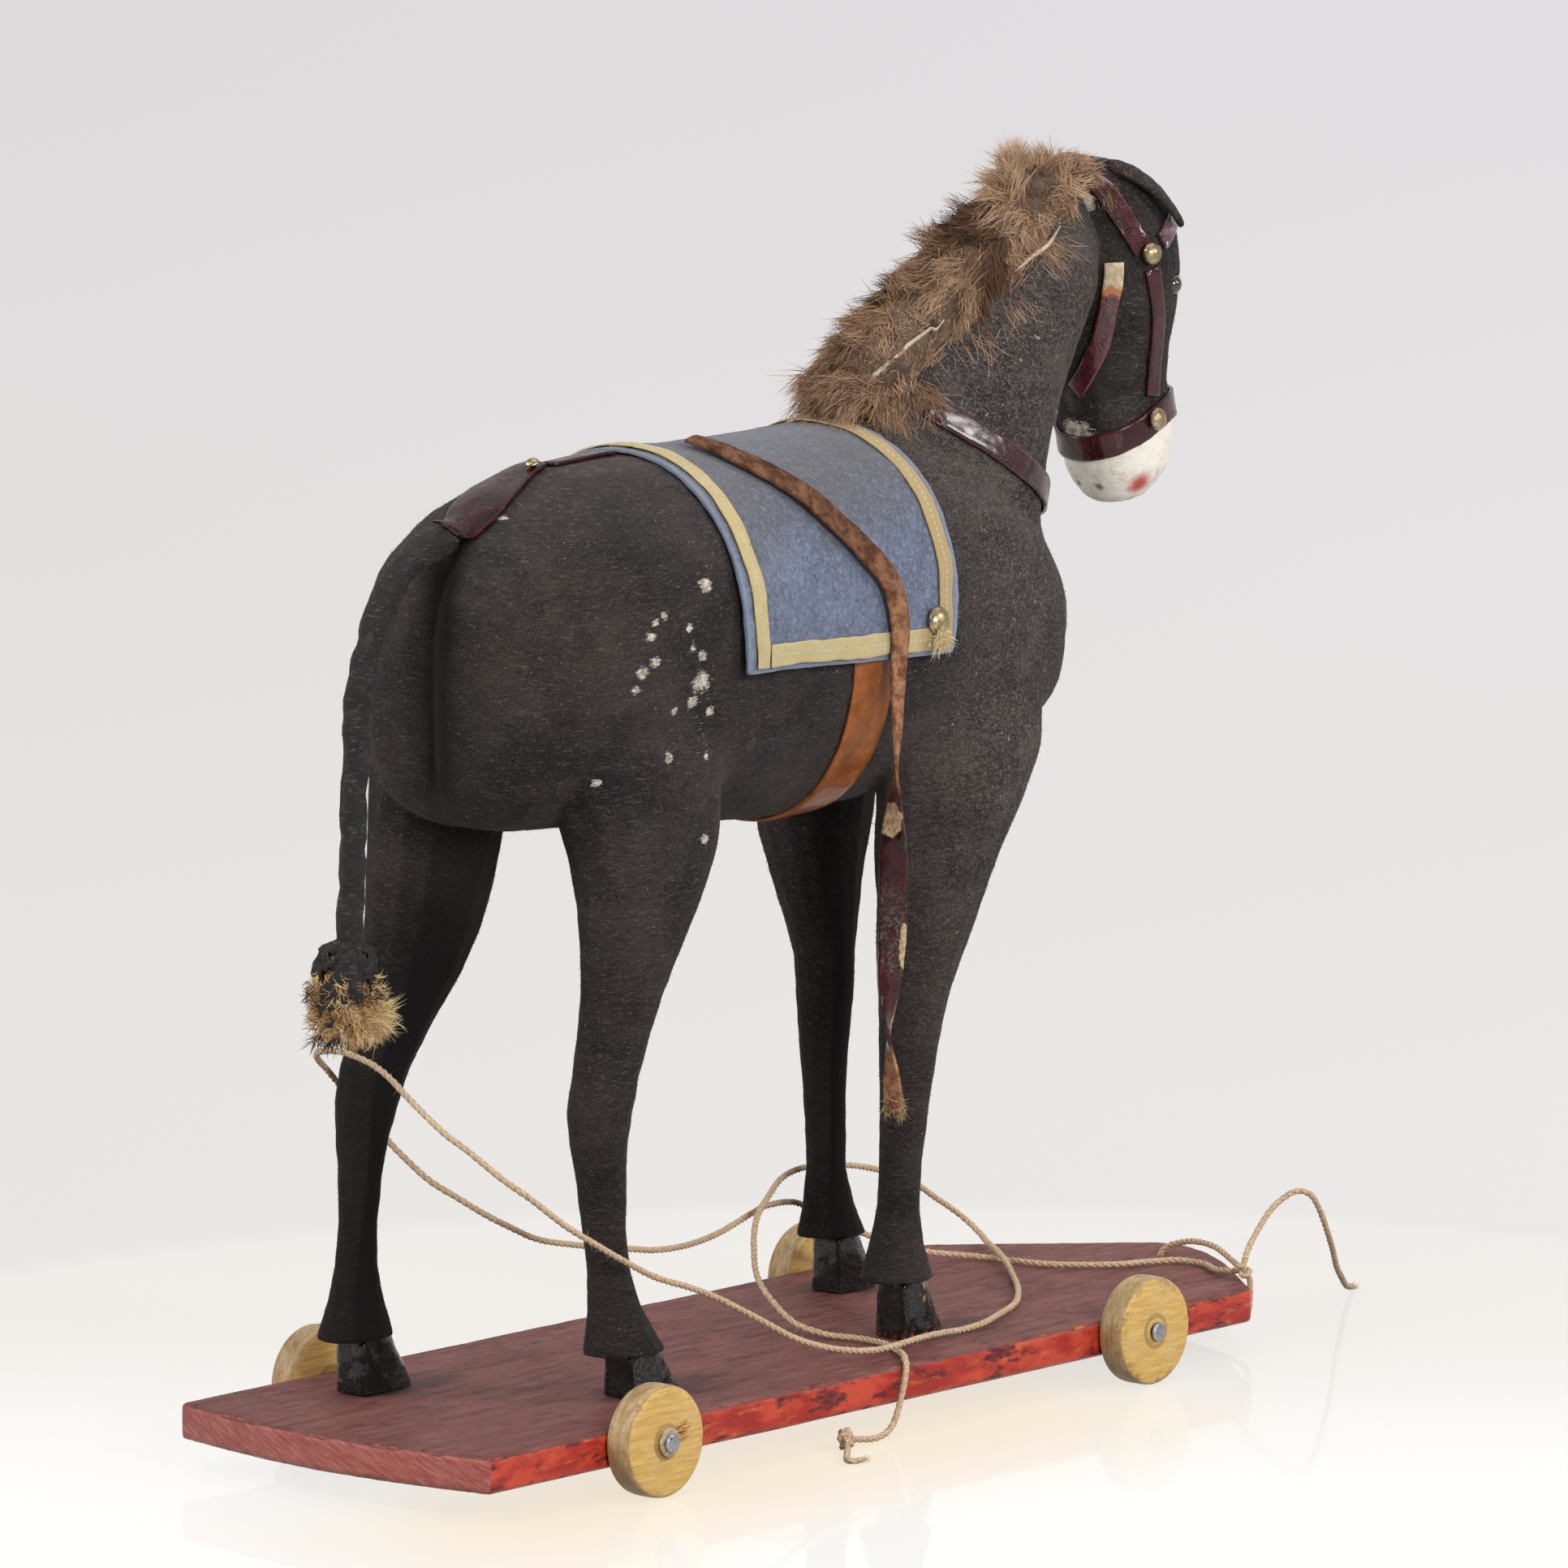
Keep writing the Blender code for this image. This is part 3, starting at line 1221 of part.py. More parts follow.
def make_knot(name, place, finish):
    """A small round knot, slightly lumpy."""
    shape = bmesh.new()
    bmesh.ops.create_icosphere(shape, subdivisions=2, radius=KNOT_DIAMETER / 2)
    for vert in shape.verts:
        turn = math.atan2(vert.co.y, vert.co.x)
        vert.co *= 1.0 + 0.06 * math.sin(3 * turn + 900.0 * vert.co.z)
        vert.co.z *= 0.86
    knot = add_object(name, shape, finish)
    knot.location = Vector([value * MM for value in place])
    return knot


def build():
    remove_everything()
    mats = make_materials()
    board = make_board(mats["board"])
    make_wheel("front_right", FRONT_AXLE_X, -1, mats, board)
    make_wheel("front_left", FRONT_AXLE_X, 1, mats, board)
    make_wheel("rear_right", REAR_AXLE_X, -1, mats, board, washer=True)
    make_wheel("rear_left", REAR_AXLE_X, 1, mats, board)

    torso = make_torso(mats["flock"])
    neck = make_neck(mats["flock"])
    head = make_head(mats["flock"])
    torso_grown = grown(torso, JOINT_GAP, "torso_grown")
    neck_grown = grown(neck, JOINT_GAP, "neck_grown")
    head_grown = grown(head, JOINT_GAP, "head_grown")
    cut(neck, torso_grown)

    legs = []
    for name, rows, length, side in (
            ("front_right", LEG_FRONT_RIGHT, FRONT_HOOF_LENGTH, -1),
            ("front_left", LEG_FRONT_LEFT, FRONT_HOOF_LENGTH, 1),
            ("rear_right", LEG_REAR_RIGHT, REAR_HOOF_LENGTH, -1),
            ("rear_left", LEG_REAR_LEFT, REAR_HOOF_LENGTH, 1)):
        stations = leg_place(rows, side)
        leg = make_leg(name, stations, mats["flock"])
        make_hoof(name, stations[-1], length, mats, board, leg)
        cut(leg, torso_grown)
        legs.append(leg)

    body_skin = Skin(torso, neck, *legs)
    head_skin = Skin(head)
    collar_skin = Skin(torso, neck)
    cut(head, neck_grown)

    mane = make_mane(mats["fur"])
    cut(mane, torso_grown, neck_grown, head_grown)
    for name, side in (("right", -1), ("left", 1)):
        ear = make_ear(name, side, mats["tail"])
        cut(ear, head_grown, neck_grown)
        centre = spot(180.4, 15.0 * side, 322.0)
        eye = bmesh.new()
        bmesh.ops.create_uvsphere(eye, u_segments=14, v_segments=8, radius=EYE_DIAMETER / 2)
        eye_object = add_object("eye_" + name, eye, mats["glass"])
        eye_object.location = centre
        socket = bmesh.new()
        bmesh.ops.create_uvsphere(socket, u_segments=14, v_segments=8,
                                  radius=EYE_DIAMETER / 2 + BORE_GAP)
        socket_object = as_cutter(add_object("eye_socket_" + name, socket, None))
        socket_object.location = centre
        cut(head, socket_object)

    tail = make_tail(mats["tail"])
    make_tuft(mats["jute"], tail)
    cut(tail, torso_grown)

    saddle, cloth = make_saddle(body_skin, mats)
    make_girth(body_skin, mats["tan"])
    make_loose_strap(saddle, mats["brown"])
    patch = make_crupper(Skin(torso, tail, *legs), mats)
    cut(tail, grown(patch, JOINT_GAP, "patch_grown"))

    for name, side in (("right", 1), ("left", -1)):
        x = saddle.front(86 * side) - RIBBON_INSET - RIBBON_WIDTH - 2.5 * MM
        base, normal = saddle.place(x, 86.0 * side, CLOTH_THICKNESS + RIBBON_THICKNESS + 2 * RIBBON_GAP)
        pierced = [torso, cloth]
        stud("cloth_stud_" + name, base, normal, STUD_DIAMETER, STUD_HEIGHT, STUD_PIN_LENGTH,
             mats["brass"], pierced)

    harness = make_head_harness(head_skin, mats)
    for key in list(harness):
        value = harness[key]
        if isinstance(value, tuple):
            base, normal, holds = value
            stud(key, base, normal, BRIDLE_STUD_DIAMETER, BRIDLE_STUD_HEIGHT, 5.5 * MM, mats["brass"],
                 [head] + [harness[item] for item in holds])
    collar_middle = spot(84.0, 0, 273.2)
    crest_way = (spot(47.0, 0, 296.5) - collar_middle).normalized()
    rays = fan(collar_middle, crest_way, Vector((0, -1, 0)), 27.0, 333.0, 33)
    strap("collar_strap", collar_skin, rays, COLLAR_WIDTH, STRAP_THICKNESS, mats["maroon"])

    hit, normal = Skin(torso).outward(spot(-96.0, 0, 230.0), spot(-109.0, 0, 286.0) - spot(-96.0, 0, 230.0))
    stud("crupper_stud", hit + normal * (POLL_STRAP_GAP + STRAP_THICKNESS + 4 * GAP), normal,
         CRUPPER_STUD_DIAMETER, CRUPPER_STUD_HEIGHT, 6.0 * MM, mats["brass"],
         [torso, bpy.data.objects["crupper_patch"]])

    make_knot("cord_knot_front", FRONT_KNOT_AT, mats["twine"])
    make_knot("cord_knot_end", END_KNOT_AT, mats["twine"])
    cord_tube("pull_cord", CORD_RUN_ROUTE, mats["twine"], 1)
    cord_tube("cord_loop", CORD_LOOP_ROUTE, mats["twine"], 2)
    cord_tube("cord_loose_end", CORD_END_ROUTE, mats["twine"], 2)


build()
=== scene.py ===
"""Scene of the donkey pull toy: flocked coat, felt saddle cloth, leather harness, fur, twine and plank."""
import math
import random

import bmesh
import bpy
import numpy as np
from mathutils import Matrix, Vector, noise
from mathutils.bvhtree import BVHTree
from mathutils.kdtree import KDTree


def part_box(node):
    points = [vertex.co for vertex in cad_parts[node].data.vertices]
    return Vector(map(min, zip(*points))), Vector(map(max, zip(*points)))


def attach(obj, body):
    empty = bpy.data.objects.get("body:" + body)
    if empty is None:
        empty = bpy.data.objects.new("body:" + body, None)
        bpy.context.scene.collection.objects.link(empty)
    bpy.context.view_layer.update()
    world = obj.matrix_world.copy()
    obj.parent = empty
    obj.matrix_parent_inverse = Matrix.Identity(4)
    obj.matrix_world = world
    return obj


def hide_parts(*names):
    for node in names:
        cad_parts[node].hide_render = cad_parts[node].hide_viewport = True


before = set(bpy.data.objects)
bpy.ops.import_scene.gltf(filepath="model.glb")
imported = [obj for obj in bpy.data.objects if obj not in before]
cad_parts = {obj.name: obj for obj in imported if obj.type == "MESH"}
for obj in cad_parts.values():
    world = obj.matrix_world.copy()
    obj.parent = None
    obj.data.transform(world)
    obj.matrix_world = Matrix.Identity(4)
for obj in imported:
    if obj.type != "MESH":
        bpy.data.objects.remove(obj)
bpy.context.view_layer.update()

rng = random.Random(41)
MM = 0.001

CAMERA_TURN, CAMERA_RISE = math.radians(-48.7), math.radians(8.29)
# Where the camera stands from the origin, to the picture's right, upwards and back, in mm.
CAMERA_RIGHT, CAMERA_UP, CAMERA_BACK = 4.62, 196.0, 3600.0
# Width of the picture in pixels, and its pixels for 1 mm seen from 1 m.
PICTURE, PIXEL_METRES = 1932, 13.968
# Height of the axis that the cloth bends about, and its radius there.
CLOTH_AXIS, CLOTH_RADIUS = 0.2515, 0.056
SIDES = ("right", "left")
CORNERS = ("front_right", "front_left", "rear_right", "rear_left")
BODY = ("torso", "neck", "head", "leg_front_right", "leg_front_left", "leg_rear_right", "leg_rear_left")

# Chips in the flock on the haunch: place and radius in mm.
WORN = ((-82, -46, 273, 2.6), (-107, -48, 264, 1.3), (-103, -48, 266, 1.3), (-109, -48, 260, 1.7),
        (-108, -49, 252, 1.9), (-113, -47, 249, 2.0), (-115, -47, 244, 1.4), (-92, -48, 261, 1.5),
        (-91, -49, 255, 1.2), (-87, -49, 252, 1.8), (-87, -48, 244, 3.6), (-90, -48, 238, 2.2),
        (-98, -47, 236, 1.3), (-81, -47, 234, 1.7), (-102, -49, 222, 1.6), (-83, -47, 220, 1.4),
        (-85, -49, 195, 2.0), (-126, -41, 216, 1.4), (-150, -10, 273, 1.8), (-133, -9, 295, 1.6),
        (-154, 4, 231, 1.8), (-150, 6, 212, 2.2))
# Wider rubbed places: place, radius and how much is rubbed off.
RUBBED = ((-86, -47, 236, 17, 0.2), (-85, -48, 226, 7, 0.3), (-93, -47, 262, 12, 0.14),
          (-146, -12, 222, 6, 0.22))
# Creases that are filled: places, reach in mm and rounds of easing.
CREASES = ((((112, -12, 219), (103, -25, 218), (118, -8, 268), (104, 20, 216), (78, -40, 214)), 24, 160),
           (((-81, -46, 222), (-80, -47, 206), (-76, -45, 190)), 20, 120))
# Glossy spots on the head: place and radius in mm.
GLOSSY = ((152, -8, 304, 6), (158, -13, 303, 6), (148, 0, 308, 5), (163, -15, 302, 5))


def camera():
    az, el = CAMERA_TURN, CAMERA_RISE
    right = Vector((math.cos(az), math.sin(az), 0))
    back = Vector((math.sin(az) * math.cos(el), -math.cos(az) * math.cos(el), math.sin(el)))
    up = back.cross(right)
    data = bpy.data.cameras.new("camera")
    data.sensor_width = 36.0
    data.lens = 260.3
    data.clip_end = 60.0
    cam = bpy.data.objects.new("camera", data)
    bpy.context.scene.collection.objects.link(cam)
    turn = Matrix((right, up, back)).transposed().to_4x4()
    turn.translation = (right * CAMERA_RIGHT + up * CAMERA_UP + back * CAMERA_BACK) * MM
    cam.matrix_world = turn
    bpy.context.scene.camera = cam
    return right, up, back


RIGHT, UP, BACK = camera()


def smooth_rows(rows, steps):
    table = np.array(rows, dtype=float)
    ends = np.vstack([2 * table[0] - table[1], table, 2 * table[-1] - table[-2]])
    out = []
    for i in range(len(table) - 1):
        a, b, c, d = ends[i:i + 4]
        for k in range(steps):
            t = k / steps
            out.append(0.5 * (
                       2 * b + (c - a) * t + (2 * a - 5 * b + 4 * c - d) * t ** 2
                       + (3 * b - a - 3 * c + d) * t ** 3))
    out.append(table[-1])
    return [tuple(row) for row in out]


def mesh_object(name, verts, faces, material=None):
    mesh = bpy.data.meshes.new(name)
    mesh.from_pydata([tuple(v) for v in verts], [], faces)
    mesh.shade_smooth()
    made = bpy.data.objects.new(name, mesh)
    bpy.context.scene.collection.objects.link(made)
    if material is not None:
        mesh.materials.append(material)
    return made


def ride(piece, *nodes, body="toy"):
    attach(piece, body)
    if nodes:
        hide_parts(*nodes)
    return piece


def fix_normals(obj):
    shape = bmesh.new()
    shape.from_mesh(obj.data)
    bmesh.ops.recalc_face_normals(shape, faces=shape.faces)
    shape.to_mesh(obj.data)
    shape.free()
    return obj


def ring(centre, side, up, half_side, half_up, count=8):
    angles = [2 * math.pi * i / count for i in range(count)]
    return [centre + side * math.cos(a) * half_side + up * math.sin(a) * half_up for a in angles]


def loft(rings):
    """Skin over a row of rings, closed at both ends."""
    return [p for r in rings for p in r], tube(len(rings[0]), len(rings))


def tube(count, rows, closed=False):
    """Faces between rings of points, and over both ends unless the tube closes on itself."""
    faces = []
    for row in range(rows if closed else rows - 1):
        a, b = row * count, (row + 1) % rows * count
        faces.extend((a + i, a + (i + 1) % count, b + (i + 1) % count, b + i) for i in range(count))
    if closed:
        return faces
    last = (rows - 1) * count
    return faces + [tuple(range(count))[::-1], tuple(range(last, last + count))]


def scatter(spread, middle=(0, 0, 0)):
    """A random vector, normally spread about a middle."""
    spreads = spread if isinstance(spread, tuple) else (spread,) * 3
    return Vector([rng.gauss(m, s) for m, s in zip(middle, spreads)])


def painted(made, material):
    made.data.materials.clear()
    made.data.materials.append(material)


def route(*mm):
    return [tuple(v * MM for v in mm[i:i + 3]) for i in range(0, len(mm), 3)]


class Look:
    """A procedural material under construction."""

    def __init__(self, name, colour=(0.5, 0.5, 0.5), roughness=0.5, metallic=0.0):
        self.material = bpy.data.materials.new(name)
        self.material.use_nodes = True
        self.tree = self.material.node_tree
        self.shader = self.tree.nodes["Principled BSDF"]
        self.set(Base_Color=colour, Roughness=roughness, Metallic=metallic)
        self.object = self.node("ShaderNodeTexCoord").outputs["Object"]

    def put(self, socket, value):
        if isinstance(value, bpy.types.NodeSocket):
            self.tree.links.new(value, socket)
        elif isinstance(value, (tuple, list)) and len(value) == 3 and (socket.type == "RGBA"):
            socket.default_value = (*value, 1.0)
        else:
            socket.default_value = value

    def node(self, kind, inputs=(), **values):
        made = self.tree.nodes.new(kind)
        for key, value in values.items():
            setattr(made, key, value)
        for key, value in dict(inputs).items():
            self.put(made.inputs[key], value)
        return made

    def set(self, **values):
        for key, value in values.items():
            self.put(self.shader.inputs[key.replace("_", " ")], value)

    def where(self, scale=(1, 1, 1), move=(0, 0, 0), turn=(0, 0, 0), source=None):
        inputs = {"Vector": source or self.object, "Location": move, "Rotation": turn, "Scale": scale}
        return self.node("ShaderNodeMapping", inputs).outputs[0]

    def noise(self, scale, detail=5.0, rough=0.6, vector=None, distortion=0.0):
        inputs = {"Vector": vector or self.object, "Scale": scale, "Detail": detail, "Roughness": rough,
                  "Distortion": distortion}
        return self.node("ShaderNodeTexNoise", inputs).outputs["Fac"]

    def cells(self, scale, feature="F1"):
        inputs = {"Vector": self.object, "Scale": scale}
        return self.node("ShaderNodeTexVoronoi", inputs, feature=feature).outputs["Distance"]

    def ramp(self, value, low, high, start=0.0, end=1.0):
        inputs = {"Value": value, "From Min": low, "From Max": high, "To Min": start, "To Max": end}
        return self.node("ShaderNodeMapRange", inputs, interpolation_type="SMOOTHSTEP").outputs["Result"]

    def calc(self, kind, a, b=0.0):
        return self.node("ShaderNodeMath", {0: a, 1: b}, operation=kind).outputs[0]

    def times(self, a, b):
        return self.calc("MULTIPLY", a, b)

    def shaken(self, value, shake, most):
        """A value moved up and down by a noise about the noise's middle."""
        return self.calc("ADD", value, self.times(self.calc("SUBTRACT", shake, 0.5), most))

    def mix(self, amount, a, b, kind="MIX"):
        inputs = {"Factor": amount, 6: a, 7: b}
        return self.node("ShaderNodeMix", inputs, data_type="RGBA", blend_type=kind).outputs[2]

    def layers(self, colour, *rows):
        """Paints over a colour: rows are (amount, paint), (field, low, high, paint) or ("tint", paint)."""
        for *amount, paint in rows:
            if amount == ["tint"]:
                colour = self.mix(1.0, colour, paint, "MULTIPLY")
            else:
                colour = self.mix(self.ramp(*amount) if len(amount) > 1 else amount[0], colour, paint)
        return colour

    def part(self, axis, vector=None):
        return self.node("ShaderNodeSeparateXYZ", {0: vector or self.object}).outputs["XYZ".index(axis)]

    def facing(self):
        return self.node("ShaderNodeNewGeometry").outputs["Normal"]

    def attribute(self, name):
        return self.node("ShaderNodeAttribute", attribute_name=name).outputs["Fac"]

    def bumps(self, *rows):
        """Each row is (height, strength, distance)."""
        for height, strength, distance in rows:
            made = self.node("ShaderNodeBump",
                             {"Strength": strength, "Distance": distance, "Height": height})
            last = self.shader.inputs["Normal"]
            if last.links:
                self.tree.links.new(last.links[0].from_socket, made.inputs["Normal"])
            self.tree.links.new(made.outputs[0], last)

    def seen(self):
        """1 where the surface is seen directly, mirrored or through something."""
        path = self.node("ShaderNodeLightPath").outputs
        mirrored = self.calc("MAXIMUM", path["Is Glossy Ray"], path["Is Transmission Ray"])
        return self.calc("MAXIMUM", path["Is Camera Ray"], mirrored)

    def show(self, shader):
        self.tree.links.new(shader.outputs[0], self.tree.nodes["Material Output"].inputs["Surface"])


def flock_look():
    look = Look("worn_flock", (0.04, 0.034, 0.032), 0.92)
    broad = look.noise(26.0, 4.0, 0.6)
    soft = look.noise(95.0, 6.0, 0.65, look.where((0.7, 0.7, 1.6)))
    comb = look.where((0.34, 0.34, 2.0), turn=(0.16, -0.2, 0))
    lines = look.noise(420.0, 5.0, 0.7, comb)
    streaks = look.noise(1150.0, 2.0, 0.5, comb)
    grain = look.noise(1900.0, 3.0, 0.6)
    fine = look.noise(1500.0, 3.0, 0.7)
    # Painted light: the coat is lighter where it faces upwards.
    upward = look.ramp(look.part("Z", look.facing()), 0.0, 1.0)
    tint = look.mix(look.ramp(look.noise(34.0, 5.0, 0.65, look.where(move=(3.1, 0.4, 1.7))), 0.4, 0.6),
                    (1.03, 0.99, 0.97), (0.97, 0.99, 1.04))
    ahead = look.times(look.ramp(look.part("X"), 0.0, 0.07),
                       look.ramp(look.part("X"), 0.125, 0.15, 0.75, 0.15))
    worms = look.noise(820.0, 3.0, 0.65, distortion=1.6)
    dusty = look.ramp(look.noise(42.0, 5.0, 0.65, look.where(move=(0.7, 2.2, 0.1))), 0.48, 0.66)
    dust = look.noise(760.0, 2.0, 0.5)
    rust = look.times(look.ramp(look.noise(520.0, 3.0, 0.5), 0.68, 0.74),
                      look.ramp(look.noise(40.0, 2.0), 0.5, 0.62))
    # shade is painted shade in the cleft, beside the tail and on the legs, with the muzzle's real dark
    # dots.
    shade = look.attribute("shade")
    wear = look.attribute("wear")
    torn = look.noise(900.0, 6.0, 0.75, look.where((0.45, 0.45, 1.5)), 0.6)
    rough_edge = look.shaken(wear, torn, 2.6)
    worn = look.ramp(rough_edge, 0.52, 0.7)
    white = look.attribute("muzzle")
    edge = look.shaken(white, look.noise(300.0, 6.0, 0.75), 0.9)
    edge = look.ramp(edge, 0.4, 0.6)
    pink = look.attribute("pink")
    cream = look.layers(
        (0.92, 0.87, 0.78), (look.noise(190.0, 6.0, 0.7), 0.48, 0.72, (0.7, 0.58, 0.47)),
        (look.noise(420.0, 5.0, 0.7), 0.6, 0.72, 0.0, 0.7, (0.2, 0.13, 0.1)), (pink, (0.6, 0.1, 0.085)),
        (shade, (0.045, 0.03, 0.02)))
    tan = look.attribute("tan")
    colour = look.layers(
        (0.0165, 0.0138, 0.013), (broad, 0.36, 0.64, (0.043, 0.0355, 0.0325)),
        (look.times(upward, 0.35), (0.066, 0.058, 0.054)),
        (soft, 0.5, 0.76, 0.0, 0.6, (0.06, 0.051, 0.047)),
        (soft, 0.28, 0.46, 0.55, 0.0, (0.01, 0.0085, 0.008)),
        (lines, 0.54, 0.74, 0.0, 0.65, (0.086, 0.074, 0.068)),
        (lines, 0.28, 0.42, 0.6, 0.0, (0.011, 0.009, 0.0085)),
        (grain, 0.5, 0.72, 0.0, 0.6, (0.098, 0.086, 0.08)),
        (grain, 0.3, 0.48, 0.6, 0.0, (0.01, 0.0085, 0.008)), ("tint", tint),
        ("tint", look.mix(look.ramp(look.part("X"), 0.0, 0.07), (0.8, 0.8, 0.8), (1.0, 1.0, 1.0))),
        ("tint", look.mix(look.ramp(look.part("X"), 0.135, 0.148), (1.0, 1.0, 1.0), (0.5, 0.53, 0.51))),
        (look.times(ahead, look.ramp(worms, 0.52, 0.64, 0.0, 0.85)), (0.165, 0.142, 0.132)),
        (look.times(ahead, look.ramp(worms, 0.36, 0.48, 0.9, 0.0)), (0.006, 0.0055, 0.006)),
        (look.times(look.times(ahead, dusty), 0.45), (0.112, 0.094, 0.084)),
        (look.times(ahead, look.ramp(look.noise(620.0, 2.0, 0.5, distortion=0.8), 0.7, 0.74, 0.0, 0.9)),
         (0.36, 0.31, 0.25)), (streaks, 0.585, 0.72, 0.0, 0.55, (0.108, 0.093, 0.083)),
        (streaks, 0.3, 0.42, 0.5, 0.0, (0.012, 0.01, 0.0095)),
        (dust, 0.72, 0.77, 0.0, 0.75, (0.24, 0.19, 0.15)), (look.times(rust, 0.7), (0.2, 0.1, 0.045)),
        ("tint", (1.21, 1.19, 1.2)), (shade, (0.007, 0.006, 0.006)),
        (worn,
         look.mix(look.ramp(look.noise(500.0, 5.0, 0.7), 0.4, 0.62), (0.3, 0.25, 0.2),
                  (0.66, 0.6, 0.53))), (edge, cream),
        (look.times(tan, look.ramp(look.noise(360.0, 7.0, 0.8, distortion=0.8), 0.55, 0.66)),
         (0.26, 0.1, 0.04)))
    look.set(Base_Color=colour, Sheen_Weight=0.09, Sheen_Roughness=0.45, Sheen_Tint=(0.78, 0.72, 0.68),
             Specular_IOR_Level=0.15)
    gloss = look.attribute("gloss")
    look.set(Roughness=look.ramp(gloss, 0.0, 1.0, 0.92, 0.25))
    look.bumps((fine, 0.55, 0.0004), (soft, 0.45, 0.0012), (lines, 0.35, 0.0006))
    return look.material


def board_look():
    look = Look("worn_red_paint")
    along = look.where((1.0, 9.0, 9.0))
    grain = look.noise(26.0, 9.0, 0.7, along, 0.6)
    fine = look.noise(240.0, 5.0, 0.62, look.where((0.3, 6.0, 6.0)))
    cloud = look.noise(34.0, 5.0, 0.6)
    mottle = look.noise(155.0, 7.0, 0.72, look.where((0.7, 1.2, 1.0)), 0.5)
    rearward = look.ramp(look.part("X"), -0.2, -0.06, 0.45, 0.0)
    # The plank's top is darker round each hoof.
    dark_round_hooves = look.shaken(look.attribute("dark_round_hooves"), look.noise(130.0, 6.0, 0.7, look.where((0.5, 1.6, 1.0))),
                       1.3)
    stain = look.ramp(look.noise(48.0, 5.0, 0.7, look.where((1.0, 2.0, 1.0))), 0.6, 0.72)
    top = look.layers(
        (0.15, 0.052, 0.046), (grain, 0.36, 0.62, (0.262, 0.094, 0.08)),
        (fine, 0.54, 0.72, 0.0, 0.45, (0.06, 0.022, 0.021)),
        (fine, 0.26, 0.44, 0.5, 0.0, (0.32, 0.155, 0.125)),
        (mottle, 0.52, 0.64, 0.0, 0.55, (0.068, 0.028, 0.027)),
        (mottle, 0.33, 0.46, 0.5, 0.0, (0.33, 0.145, 0.118)),
        (look.noise(600.0, 4.0, 0.6, look.where((0.5, 2.0, 2.0))), 0.58, 0.7, 0.0, 0.5,
         (0.3, 0.19, 0.16)), (cloud, 0.5, 0.72, 0.0, 0.45, (0.3, 0.115, 0.095)),
        (look.times(rearward, look.ramp(cloud, 0.35, 0.6)), (0.125, 0.04, 0.038)),
        (dark_round_hooves, 0.4, 0.85, 0.0, 0.75, (0.05, 0.026, 0.026)),
        (look.times(stain, 0.75), (0.035, 0.018, 0.018)))
    patch = look.noise(40.0, 6.0, 0.62, look.where((0.8, 2.0, 2.0)))
    side = look.layers(
        (0.4, 0.026, 0.02), (patch, 0.42, 0.6, (0.66, 0.08, 0.04)),
        (look.noise(70.0, 6.0, 0.65, look.where((0.8, 2.0, 3.0))), 0.56, 0.68, 0.0, 0.8,
         (0.66, 0.17, 0.05)),
        (look.noise(64.0, 6.0, 0.7, look.where((1.0, 2.0, 3.0), move=(0.4, 0, 0))), 0.51, 0.63,
         (0.12, 0.014, 0.018)))
    rear = look.layers(
        (0.33, 0.066, 0.056),
        (look.noise(330.0, 7.0, 0.72,
                    look.where((1.0, 0.35, 3.2), source=look.where(turn=(-0.42, 0, 0)))), 0.34, 0.68,
         (0.53, 0.185, 0.145)), (look.noise(300.0, 6.0, 0.7), 0.6, 0.7, 0.0, 0.8, (0.16, 0.04, 0.04)))
    normal = look.facing()
    upward = look.ramp(look.part("Z", normal), 0.45, 0.75)
    backward = look.ramp(look.times(look.part("X", normal), -1.0), 0.45, 0.75)
    edge = look.shaken(look.node("ShaderNodeNewGeometry").outputs["Pointiness"], look.noise(300.0, 5.0),
                       0.1)
    chips = look.ramp(look.noise(230.0, 6.0, 0.75), 0.715, 0.735)
    bare = look.shaken(look.attribute("bare"), look.noise(380.0, 6.0, 0.7), 1.4)
    colour = look.layers(
        side, (backward, rear), (upward, top), (edge, 0.545, 0.6, (0.42, 0.14, 0.08)),
        (chips, (0.46, 0.25, 0.15)), (bare, 0.5, 0.62, (0.5, 0.3, 0.17)))
    look.set(Base_Color=colour, Roughness=look.mix(upward, (0.3, 0.3, 0.3), (0.62, 0.62, 0.62)),
             Specular_IOR_Level=0.25)
    look.bumps((grain, 0.45, 0.0008), (fine, 0.45, 0.0004))
    return look.material


